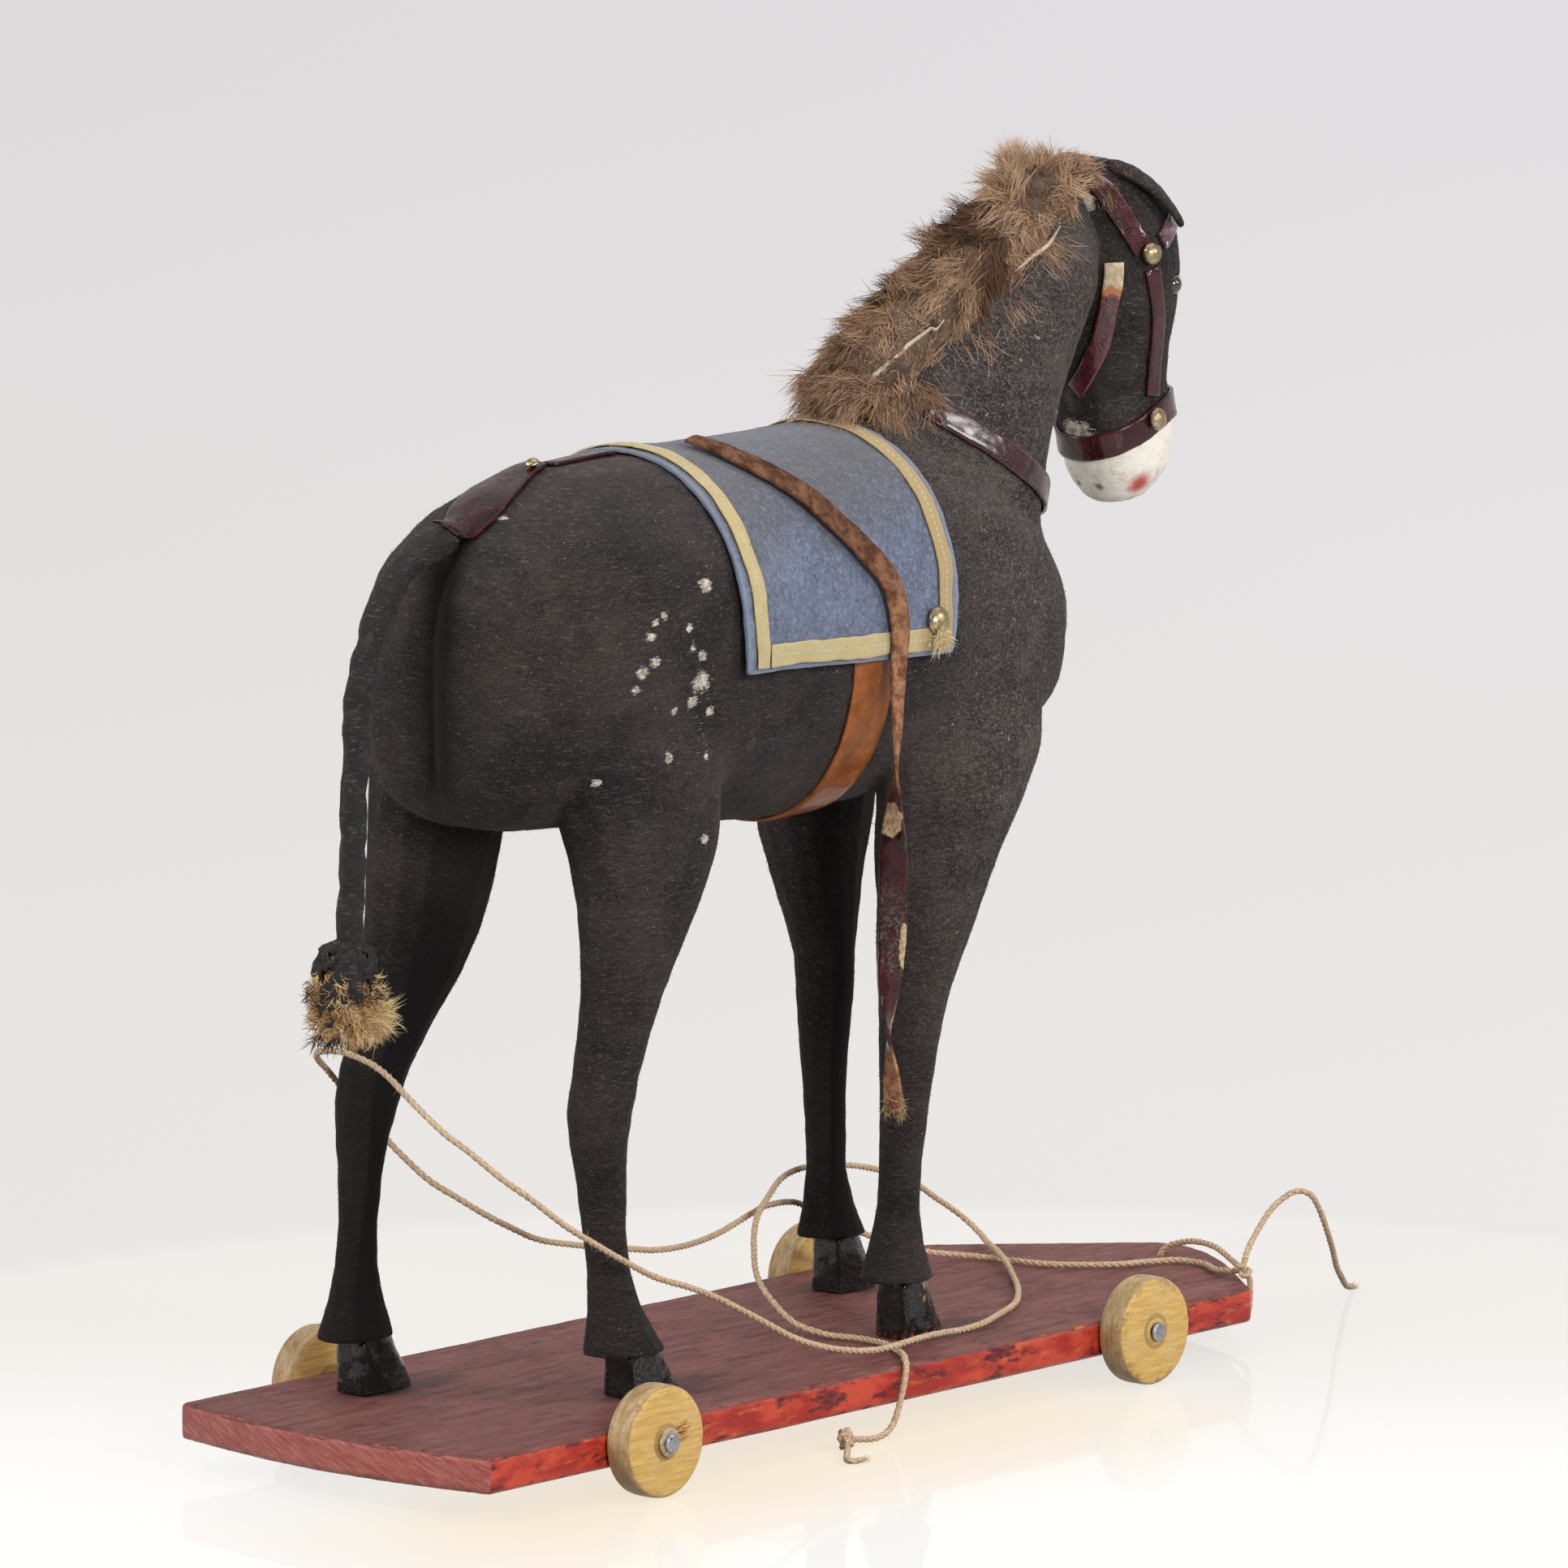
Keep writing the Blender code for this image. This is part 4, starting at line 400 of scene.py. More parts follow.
def wheel_look(name, hub):
    look = Look("wood_" + name, (0.5, 0.34, 0.16), 0.46)
    local = look.where(move=(-hub[0], 0.0, -hub[2]))
    flat = look.where((1, 0, 1), source=local)
    radius = look.node("ShaderNodeVectorMath", {0: flat}, operation="LENGTH").outputs["Value"]
    grain = look.noise(90.0, 8.0, 0.68, look.where((1.0, 1.0, 9.0), turn=(0, 0.12, 0)), 0.4)
    stripes = look.noise(330.0, 6.0, 0.6, look.where((0.4, 1.0, 5.0)))
    tread = look.ramp(radius, 0.0163, 0.0172)
    worn = look.ramp(look.noise(170.0, 6.0, 0.7, look.where((1.0, 4.0, 1.0))), 0.36, 0.66)
    used = look.mix(worn, (0.3, 0.19, 0.09), (0.56, 0.41, 0.22))
    dents = look.times(look.ramp(radius, 0.013, 0.017),
                       look.ramp(look.noise(150.0, 6.0, 0.7), 0.54, 0.66))
    hubring = look.times(look.ramp(radius, 0.004, 0.0046), look.ramp(radius, 0.0054, 0.0062, 1.0, 0.0))
    colour = look.layers(
        (0.62, 0.365, 0.088), (grain, 0.34, 0.66, (0.82, 0.545, 0.18)),
        (look.noise(70.0, 5.0, 0.6), 0.5, 0.72, 0.0, 0.6, (0.72, 0.53, 0.27)),
        (stripes, 0.58, 0.72, 0.0, 0.5, (0.33, 0.18, 0.06)), (look.times(tread, 0.85), used),
        (look.times(dents, 0.7), (0.26, 0.15, 0.06)), (look.times(hubring, 0.55), (0.25, 0.14, 0.06)))
    look.set(Base_Color=colour, Coat_Weight=0.15, Coat_Roughness=0.4, Specular_IOR_Level=0.35)
    look.bumps((look.calc("SINE", look.times(radius, 9000.0)), 0.1, 0.0002), (grain, 0.45, 0.0005))
    return look.material


def steel_look():
    look = Look("nail_steel", (0.28, 0.28, 0.3), 0.42, 1.0)
    rust = look.ramp(look.noise(900.0, 5.0, 0.7), 0.52, 0.7)
    look.set(Base_Color=look.mix(rust, (0.34, 0.355, 0.4), (0.12, 0.075, 0.055)))
    look.bumps((look.noise(1400.0), 0.3, 0.0002))
    return look.material


def hoof_look():
    look = Look("black_enamel", (0.006, 0.006, 0.007), 0.16)
    height = look.part("Z")
    rough = look.noise(260.0, 6.0, 0.7)
    low = look.shaken(height, rough, 0.012)
    low = look.ramp(low, 0.0222, 0.0245, 1.0, 0.0)
    near = look.times(look.ramp(look.part("X"), 0.0, 0.01),
                      look.ramp(look.part("Y"), -0.02, -0.01, 1.0, 0.0))
    red = look.times(look.ramp(look.noise(500.0), 0.46, 0.54), near)
    bare = look.shaken(look.attribute("bare"), look.noise(520.0, 6.0, 0.75), 1.5)
    colour = look.layers(
        (0.006, 0.006, 0.007), (look.noise(420.0, 6.0, 0.7), 0.665, 0.69, (0.36, 0.15, 0.05)),
        (look.times(low, red), (0.26, 0.035, 0.028)), (bare, 0.5, 0.6, (0.52, 0.26, 0.1)))
    look.set(Base_Color=colour, Roughness=look.ramp(rough, 0.35, 0.75, 0.1, 0.35), Coat_Weight=0.35,
             Coat_Roughness=0.05, Specular_IOR_Level=0.3)
    look.bumps(
        (look.noise(150.0, 4.0, 0.5), 0.35, 0.0012),
        (look.ramp(look.noise(900.0, 3.0, 0.5), 0.5, 0.66), 1.0, 0.0008))
    return look.material


def leather_look(name, dark, light, bare, roughness, crack=0.6, coat=0.5, bare_share=0.66):
    look = Look(name, dark, roughness)
    cloud = look.noise(150.0, 6.0, 0.65)
    pebble = look.cells(1300.0)
    cracks = look.cells(420.0, "DISTANCE_TO_EDGE")
    worn = look.ramp(look.noise(330.0, 7.0, 0.75), bare_share, bare_share + 0.05)
    pointy = look.ramp(look.node("ShaderNodeNewGeometry").outputs["Pointiness"], 0.53, 0.6, 0.0, 0.6)
    colour = look.layers(dark, (cloud, 0.36, 0.66, light), (worn, bare), (pointy, light))
    look.set(Base_Color=colour,
             Roughness=look.ramp(cloud, 0.3, 0.75, roughness * 0.7, min(1.0, roughness * 1.7)),
             Coat_Weight=coat, Coat_Roughness=0.12, Specular_IOR_Level=0.2)
    look.bumps((pebble, 0.25, 0.0003), (look.ramp(cracks, 0.0, 0.06), crack, 0.0003), (cloud, 0.5, 0.001))
    return look.material


def throat_look():
    """Leather whose upper end has lost its colour: pale there, with a band of orange below it."""
    band_low, pale_low = 0.3418, 0.3445
    look = Look("throat_strap_leather")
    place = look.shaken(look.part("Z"), look.noise(330.0, 4.0, 0.7), 0.008)
    colour = look.layers(
        (0.05, 0.006, 0.01), (look.noise(150.0, 6.0, 0.65), 0.36, 0.66, (0.125, 0.014, 0.018)),
        (place, band_low - 0.001, band_low + 0.001, (0.45, 0.13, 0.035)),
        (place, pale_low - 0.00075, pale_low + 0.00075,
         look.mix(look.ramp(look.noise(500.0, 6.0, 0.7), 0.4, 0.65), (0.62, 0.5, 0.34),
                  (0.42, 0.3, 0.17))))
    look.set(Base_Color=colour, Roughness=look.ramp(place, band_low, pale_low, 0.24, 0.75),
             Coat_Weight=0.5, Coat_Roughness=0.12)
    look.bumps((look.cells(1300.0), 0.3, 0.0003), (look.noise(600.0, 5.0, 0.7), 0.5, 0.0006))
    return look.material


def loose_strap_look():
    """Grain side maroon and glossy, flesh side brown and dull; the strap turns over twice as it hangs."""
    look = Look("loose_strap_leather", (0.1, 0.05, 0.03), 0.5)
    grain, cloud = look.attribute("grain"), look.noise(170.0, 6.0, 0.7)
    flesh = look.layers(
        (0.11, 0.044, 0.023), (cloud, 0.36, 0.66, (0.33, 0.165, 0.095)),
        (look.noise(700.0, 5.0, 0.7), 0.6, 0.72, 0.0, 0.7, (0.4, 0.25, 0.16)),
        # Painted light and shade on the flesh side: lighter low down, darker towards the top.
        ("tint", look.mix(look.ramp(look.part("Z"), 0.235, 0.285), (1.6, 1.6, 1.5), (0.75, 0.72, 0.7))))
    crazed = look.mix(look.ramp(look.noise(900.0, 6.0, 0.8), 0.46, 0.6), (0.022, 0.008, 0.007),
                      (0.17, 0.105, 0.085))
    lacquer = look.layers(
        (0.028, 0.0015, 0.003), (cloud, 0.4, 0.7, (0.085, 0.005, 0.009)),
        (look.noise(420.0, 6.0, 0.75), 0.66, 0.69, (0.28, 0.1, 0.05)),
        (look.times(look.attribute("crazed"), look.ramp(look.noise(300.0, 6.0, 0.75), 0.36, 0.52)),
         crazed))
    bare = look.shaken(look.attribute("bare"), look.noise(420.0, 6.0, 0.7), 1.3)
    colour = look.layers(
        flesh, (grain, lacquer),
        (bare, 0.45, 0.6,
         look.mix(look.ramp(look.noise(700.0), 0.4, 0.6), (0.7, 0.53, 0.34), (0.5, 0.3, 0.12))))
    look.set(Base_Color=colour, Roughness=look.ramp(grain, 0.0, 1.0, 0.66, 0.24),
             Coat_Weight=look.times(grain, 0.55), Coat_Roughness=0.1, Specular_IOR_Level=0.08)
    look.bumps((look.cells(1500.0), 0.6, 0.0004), (cloud, 0.9, 0.0022))
    return look.material


def felt_look():
    look = Look("blue_felt", (0.13, 0.16, 0.24), 0.97)
    fibre = look.noise(900.0, 6.0, 0.75, distortion=1.2)
    blotch = look.noise(45.0, 5.0, 0.6)
    top = look.ramp(look.shaken(look.part("Z"), look.noise(60.0, 4.0, 0.6), 0.05), 0.268, 0.305)
    nap = look.noise(620.0, 6.0, 0.75, distortion=0.6)
    mottle = look.noise(230.0, 5.0, 0.7, distortion=0.8)
    holes = look.times(look.ramp(look.noise(330.0, 5.0, 0.7), 0.64, 0.7),
                       look.ramp(look.noise(60.0, 2.0), 0.4, 0.6))
    edge = look.attribute("edge")
    colour = look.layers(
        (0.085, 0.114, 0.205), (blotch, 0.36, 0.68, (0.14, 0.178, 0.282)),
        (look.noise(150.0, 6.0, 0.7), 0.48, 0.66, 0.0, 0.6, (0.075, 0.085, 0.125)),
        (mottle, 0.52, 0.66, 0.0, 0.6, (0.19, 0.215, 0.3)),
        (mottle, 0.34, 0.47, 0.6, 0.0, (0.05, 0.064, 0.12)),
        (look.times(top, 0.9), (0.078, 0.068, 0.064)),
        (look.times(look.ramp(nap, 0.5, 0.64, 0.0, 0.8),
                    look.calc("SUBTRACT", 1.0, look.times(top, 0.55))), (0.265, 0.285, 0.36)),
        (nap, 0.34, 0.47, 0.85, 0.0, (0.036, 0.042, 0.075)),
        (fibre, 0.52, 0.7, 0.0, 0.6, (0.29, 0.31, 0.37)),
        (look.noise(1300.0, 4.0, 0.7), 0.62, 0.74, 0.0, 0.6, (0.05, 0.06, 0.1)),
        (look.times(holes, 0.85), (0.022, 0.028, 0.05)), (look.times(edge, 0.75), (0.3, 0.38, 0.5)))
    look.set(Base_Color=colour, Sheen_Weight=0.4, Sheen_Roughness=0.5, Sheen_Tint=(0.85, 0.88, 1.0))
    look.bumps((fibre, 0.8, 0.0005), (nap, 0.7, 0.0007), (blotch, 0.35, 0.0015))
    return look.material


def ribbon_look():
    look = Look("gold_ribbon", (0.6, 0.48, 0.2), 0.55)
    across, along = look.attribute("across"), look.attribute("along")
    fold = look.noise(200.0, 5.0, 0.6)
    weft = look.calc("SINE", look.times(along, 2 * math.pi / 0.00055))
    warp = look.calc("SINE", look.times(across, 2 * math.pi / 0.0007))
    weave = look.times(weft, warp)
    line = look.ramp(look.calc("ABSOLUTE", look.attribute("side")), 0.05, 0.12, 1.0, 0.0)
    dash = look.calc("SINE", look.times(along, 2 * math.pi / 0.0021))
    stitch = look.times(line, look.ramp(dash, -0.35, -0.05))
    front = look.ramp(look.part("X"), 0.01, 0.016, 0.0, 0.75)
    stain = look.ramp(look.noise(330.0, 6.0, 0.7), 0.6, 0.7)
    colour = look.layers(
        (0.5, 0.365, 0.12), (weave, -0.6, 0.6, (0.92, 0.75, 0.36)),
        (fold, 0.45, 0.72, 0.0, 0.5, (0.8, 0.7, 0.42)),
        (front, look.mix(look.ramp(weave, -0.6, 0.6), (0.34, 0.2, 0.065), (0.74, 0.52, 0.22))),
        (look.times(stain, 0.6), (0.28, 0.19, 0.08)), (look.times(stitch, 0.85), (0.8, 0.76, 0.64)))
    look.set(Base_Color=colour, Sheen_Weight=0.2, Specular_IOR_Level=0.5)
    look.bumps((stitch, 0.6, 0.0004), (weave, 0.7, 0.0003), (fold, 0.5, 0.0012))
    return look.material


def brass_look():
    look = Look("old_brass", (0.42, 0.3, 0.13), 0.32, 1.0)
    patch = look.noise(500.0, 6.0, 0.7)
    colour = look.mix(look.ramp(patch, 0.4, 0.64), (0.42, 0.34, 0.2), (0.25, 0.19, 0.11))
    look.set(Base_Color=colour, Roughness=look.ramp(patch, 0.35, 0.7, 0.22, 0.5))
    look.bumps((look.noise(700.0, 5.0), 0.12, 0.0003))
    return look.material


def twine_look():
    look = Look("jute_twine", (0.52, 0.4, 0.25), 0.92)
    fibre = look.noise(1400.0, 6.0, 0.7)
    cloud = look.noise(60.0, 4.0, 0.6)
    colour = look.layers(
        (0.46, 0.3, 0.165), (fibre, 0.38, 0.66, (0.84, 0.635, 0.42)),
        (cloud, 0.42, 0.7, 0.0, 0.5, (0.66, 0.5, 0.33)))
    look.set(Base_Color=colour, Sheen_Weight=0.2)
    look.bumps((fibre, 0.7, 0.0003))
    return look.material


def tail_look():
    look = Look("tail_cloth", (0.05, 0.05, 0.055), 0.7)
    cloud = look.noise(130.0, 6.0, 0.7)
    hairs = look.noise(800.0, 3.0, 0.6, look.where((0.4, 0.4, 1.8)))
    colour = look.layers(
        (0.0046, 0.0042, 0.0042), (cloud, 0.36, 0.66, (0.022, 0.0198, 0.0195)),
        (look.noise(150.0, 6.0, 0.7, distortion=0.8), 0.54, 0.62, 0.0, 0.8, (0.04, 0.025, 0.018)),
        (hairs, 0.57, 0.7, 0.0, 0.7, (0.115, 0.105, 0.098)),
        (look.noise(420.0, 4.0, 0.7), 0.66, 0.72, 0.0, 0.8, (0.17, 0.07, 0.035)))
    look.set(Base_Color=colour, Roughness=look.ramp(cloud, 0.3, 0.7, 0.5, 0.85), Sheen_Weight=0.06,
             Specular_IOR_Level=0.3)
    look.bumps(
        (look.noise(900.0, 5.0, 0.7), 0.6, 0.0004),
        (look.noise(260.0, 6.0, 0.7, look.where((1.0, 1.0, 0.45))), 0.8, 0.0012), (cloud, 0.7, 0.0018))
    return look.material


def tuft_look():
    jute = Look("tuft_jute", (0.4, 0.25, 0.1), 0.9)
    messy = jute.noise(700.0, 6.0, 0.75, distortion=2.0)
    colour = jute.layers(
        (0.1, 0.045, 0.018), (messy, 0.4, 0.62, (0.52, 0.32, 0.13)),
        (jute.noise(160.0, 4.0, 0.6), 0.56, 0.7, (0.075, 0.026, 0.014)))
    jute.set(Base_Color=colour)
    jute.bumps((messy, 1.0, 0.0012))
    return jute.material


def strand_look(name, dark, light, tip, roughness=0.6, sheen=0.2):
    """Fur or fibre: colour runs from root to tip with each strand its own shade."""
    look = Look(name, dark, roughness)
    shade, part = look.attribute("strand"), look.attribute("part")
    colour = look.layers(
        dark, (shade, light), (look.times(part, look.ramp(shade, 0.15, 0.9)), tip),
        (look.noise(260.0, 4.0, 0.6), 0.35, 0.7, 0.35, 0.0, dark))
    look.set(Base_Color=colour, Sheen_Weight=sheen, Specular_IOR_Level=0.18)
    return look.material


def stage_looks():
    """Table and paper: pale colours where they are seen, with painted light and shade in them; plain to
    other rays.
    """
    table = Look("white_table")
    depth = table.attribute("depth")
    # Painted light: white in front, greyer with depth, and a painted warm glow beside the plank.
    colour = table.layers(
        (1.0, 0.99, 0.965), (depth, -0.16, 0.16, (0.86, 0.832, 0.79)),
        (depth, 0.16, 0.34, (0.835, 0.812, 0.785)), (table.attribute("plank_glow"), (1.0, 0.885, 0.715)),
        (table.attribute("fade"), (0.8, 0.78, 0.755)))
    glow = table.node("ShaderNodeEmission",
                      {"Color": colour, "Strength": table.times(table.seen(), 0.93)})
    matt = table.node("ShaderNodeBsdfDiffuse", {"Color": (0.13, 0.129, 0.127)})
    lit = table.node("ShaderNodeAddShader", {0: glow.outputs[0], 1: matt.outputs[0]})
    shine = table.node("ShaderNodeBsdfGlossy", {"Roughness": 0.05})
    table.show(table.node("ShaderNodeMixShader", {0: 0.12, 1: lit.outputs[0], 2: shine.outputs[0]}))
    wall = Look("paper_backdrop")
    height = wall.attribute("height")
    left = wall.mix(height, (0.795, 0.765, 0.742), (0.69, 0.668, 0.676))
    right = wall.mix(height, (0.871, 0.86, 0.845), (0.775, 0.76, 0.783))
    glow = wall.node("ShaderNodeEmission", {"Color": wall.mix(wall.attribute("across"), left, right)})
    matt = wall.node("ShaderNodeBsdfDiffuse", {"Color": (0.6, 0.6, 0.6)})
    wall.show(wall.node("ShaderNodeMixShader", {0: wall.seen(), 1: matt.outputs[0], 2: glow.outputs[0]}))
    return table.material, wall.material


# The cord: thickness, knots and the route of each stretch, in mm.
CORD_D = 2.1

FRONT_KNOT = Vector((171.0, -54.5, 24.8))
END_KNOT = Vector((-41.0, -67.5, 3.1))
CORD_END_ROUTE = route(
    172.6, -54.2, 28.2,  177, -52.2, 31,  184, -50, 35.2,  190, -50, 40.6,  195, -51, 44.2,
    200, -53.5, 46.8,  205, -55.5, 45,  211, -54.5, 39,  218, -52, 31,  228, -46.5, 22.5,  237, -41, 15,
    248, -34.5, 8.8,  258, -28.5, 4,  268, -23, 1.4)
CORD_LOOP_ROUTE = route(
    173.7, -51.9, 24.6,  178.3, -44.4, 25.6,  184.5, -32, 27.8,  188.6, -20, 27.6,  190.2, -11.4, 25.8,
    190, -6.6, 23.8,  189.5, -4.4, 20.8,  189.4, -4, 16,  189.4, -4.1, 11.2,  189.2, -5.2, 8.6,
    188.8, -9, 7.7,  187.9, -17, 7.6,  185.9, -30, 7.8,  181.6, -42, 8,  176.8, -51, 8.6,  175, -53.8, 11,
    174.4, -54.9, 15.5,  173.4, -55.6, 21.8)
CORD_RUN_ROUTE = route(
    170.3, -51, 24.2,  172.5, -42, 23.3,  179.5, -31, 22.9,  178.5, -21, 22.9,  170, -15.5, 22.9,
    160, -11, 22.9,  150, -1, 22.9,  144, 10, 22.9,  142, 24, 22.9,  138, 35, 23.2,  123, 43, 26,
    102, 49.5, 33.9,  82, 49, 42.5,  66, 46.5, 49.3,  48, 42, 51.7,  34, 38, 51.1,  12, 32, 48.7,
    -10, 26, 48.6,  -29, 22, 50.2,  -44, 20, 52.9,  -68, 18, 57.6,  -88, 18, 62.2,  -100, 19, 67.6,
    -109, 21, 72.5,  -118, 25, 78.8,  -124, 31, 84.3,  -127, 38, 90.4,  -130, 45, 97.5,  -137, 50, 107.5,
    -150, 49, 119.6,  -163, 42, 127,  -171, 32, 131,  -172.5, 22, 132,  -172, 12, 130,  -173, 3, 127,
    -174, -8, 120.5,  -173, -20, 112.3,  -169, -28, 106,  -164, -36, 98.5,  -157, -42, 91.7,
    -147, -46, 83.1,  -137, -48, 76.7,  -121, -48, 68.1,  -106, -47, 61,  -90, -46, 55.6,  -76, -46, 50,
    -61, -48.5, 42,  -45, -52, 33.2,  -28, -54.5, 27.9,  -11, -55.5, 25.6,  12, -52, 25.3,  28, -47.5, 24,
    40, -45, 22.9,  53, -43.5, 22.9,  66, -38.5, 22.9,  83, -31, 22.9,  95, -23, 22.9,  109, -11, 22.9,
    121, 1, 23.1,  132, 13, 24.4,  142, 25.5, 25.4,  153, 39, 25,  161, 50, 26.4,  159.5, 56.5, 31.2,
    149, 58, 38.1,  137, 57, 44.6,  116, 54, 52.3,  94, 50, 57.5,  70, 46.5, 60.3,  54, 42, 59.7,
    40, 36, 55.8,  27, 29, 52,  13, 18, 46.1,  1, 5, 37.6,  2, -7, 27,  6, -18, 23.2,  9, -30, 22.9,
    7.5, -42, 22.9,  2, -52, 22.9,  -4, -60, 22.9,  -7.5, -63, 23,  -10.3, -66.2, 22.3,  -12.6, -67.6, 18,
    -15.5, -67.9, 10.5,  -19.5, -67.9, 3.8,  -27, -68.5, 1.6,  -37.4, -68, 2.6)


def along_curve(points, closed=False):
    """Tangent and two side vectors, free of twist, at each point of a route."""
    pts = [Vector(p) for p in points]
    count = len(pts)
    tangents = []
    for i in range(count):
        if closed:
            tangents.append((pts[(i + 1) % count] - pts[i - 1]).normalized())
        else:
            tangents.append((pts[min(i + 1, count - 1)] - pts[max(i - 1, 0)]).normalized())
    side = tangents[0].orthogonal().normalized()
    frames = []
    for tangent in tangents:
        side = (side - tangent * side.dot(tangent)).normalized()
        frames.append((tangent, side, tangent.cross(side)))
    return pts, frames


def resample(points, step, closed=False):
    pts = [Vector(p) for p in points]
    if closed:
        pts.append(pts[0].copy())
    lengths = [0.0]
    for a, b in zip(pts, pts[1:]):
        lengths.append(lengths[-1] + (b - a).length)
    total = lengths[-1]
    count = max(4, int(round(total / step)))
    out, k = [], 0
    for i in range(count + (0 if closed else 1)):
        want = total * i / count
        while k < len(lengths) - 2 and lengths[k + 1] < want:
            k += 1
        part = (want - lengths[k]) / max(lengths[k + 1] - lengths[k], 1e-12)
        out.append(pts[k].lerp(pts[k + 1], part))
    return out, total


def twine(name, way, material, diameter=CORD_D * MM, step=0.5 * MM, pitch=7.6 * MM, closed=False, seed=1):
    """Three twisted plies along a route, with the small swellings of spun jute."""
    pts, total = resample(way, step, closed)
    pts, frames = along_curve(pts, closed)
    turns = max(1, round(total / pitch))
    verts, faces = [], []
    rows, sides = len(pts), 8
    for ply in range(3):
        start = len(verts)
        for i, (p, (tangent, side, up)) in enumerate(zip(pts, frames)):
            part = i / (rows if closed else rows - 1)
            angle = 2 * math.pi * (part * turns + ply / 3)
            swell = 1 + 0.16 * noise.noise(
                    Vector((p.x * 400 + seed * 7.1, p.y * 400 + ply * 13, p.z * 400)))
            out = side * math.cos(angle) + up * math.sin(angle)
            width = diameter * 0.312 * swell
            verts.extend(ring(p + out * diameter * 0.195, out, tangent.cross(out), width, width, sides))
        faces.extend(tuple(start + k for k in face) for face in tube(sides, rows, closed))
    made = mesh_object(name, verts, faces, material)
    return made, [tuple(p) for p in pts], total


def strands(name, roots, material, width, segments=4, droop=0.0, curl=0.0):
    """Thin tapered blades: each root is (place, direction, length, shade) and maybe a bend of its own."""
    verts, faces, shade, part = [], [], [], []
    for place, direction, length, tone, *own in roots:
        d = Vector(direction).normalized()
        bend = scatter(1) * curl
        if own:
            bend += own[0]
        side = d.cross(BACK)
        side = side.normalized() if side.length > 0.0001 else d.orthogonal()
        side = side.lerp(scatter(1).normalized(), 0.25).normalized()
        p = Vector(place)
        start = len(verts)
        wide = width * rng.uniform(0.6, 1.3)
        for i in range(segments + 1):
            t = i / segments
            w = wide * (1 - t) ** 0.6 * 0.5
            p.z = max(p.z, 0.35 * MM)
            ends = (p.copy(),) if i == segments else (p - side * w, p + side * w)
            verts.extend(ends)
            shade.extend([tone] * len(ends))
            part.extend([t] * len(ends))
            d = (d + (bend + Vector((0, 0, -droop))) / segments).normalized()
            p = p + d * length / segments
        for a in range(start, start + 2 * segments - 2, 2):
            faces.append((a, a + 1, a + 3, a + 2))
        a = start + 2 * (segments - 1)
        faces.append((a, a + 1, a + 2))
    made = mesh_object(name, verts, faces, material)
    set_attribute(made, "strand", shade)
    set_attribute(made, "part", part)
    return made


def lock(roots, place, normal, flow, length, count, spread, tone, reach=0.55, lift=0.5):
    """One lock of hair: strands that start over a small patch and draw together towards one tip."""
    bend = scatter(1) * 0.35
    side = normal.cross(flow).normalized() if normal.cross(flow).length > 1e-05 else normal.orthogonal()
    other = normal.cross(side)
    tip = place + (flow + normal * lift * 0.6).normalized() * length
    for _ in range(count):
        shift = side * (rng.gauss(0, 1) * spread) + other * (rng.gauss(0, 1) * spread)
        aim = tip + shift * (1 - reach) + scatter(1) * length * 0.07
        heading = (aim - place - shift).normalized()
        first = (heading + normal * lift).normalized()
        long = length * rng.uniform(0.72, 1.12)
        shade = min(1.0, max(0.0, tone + rng.uniform(-0.25, 0.25)))
        roots.append((place + shift, first, long, shade, (heading - first) * 2.0 + bend))


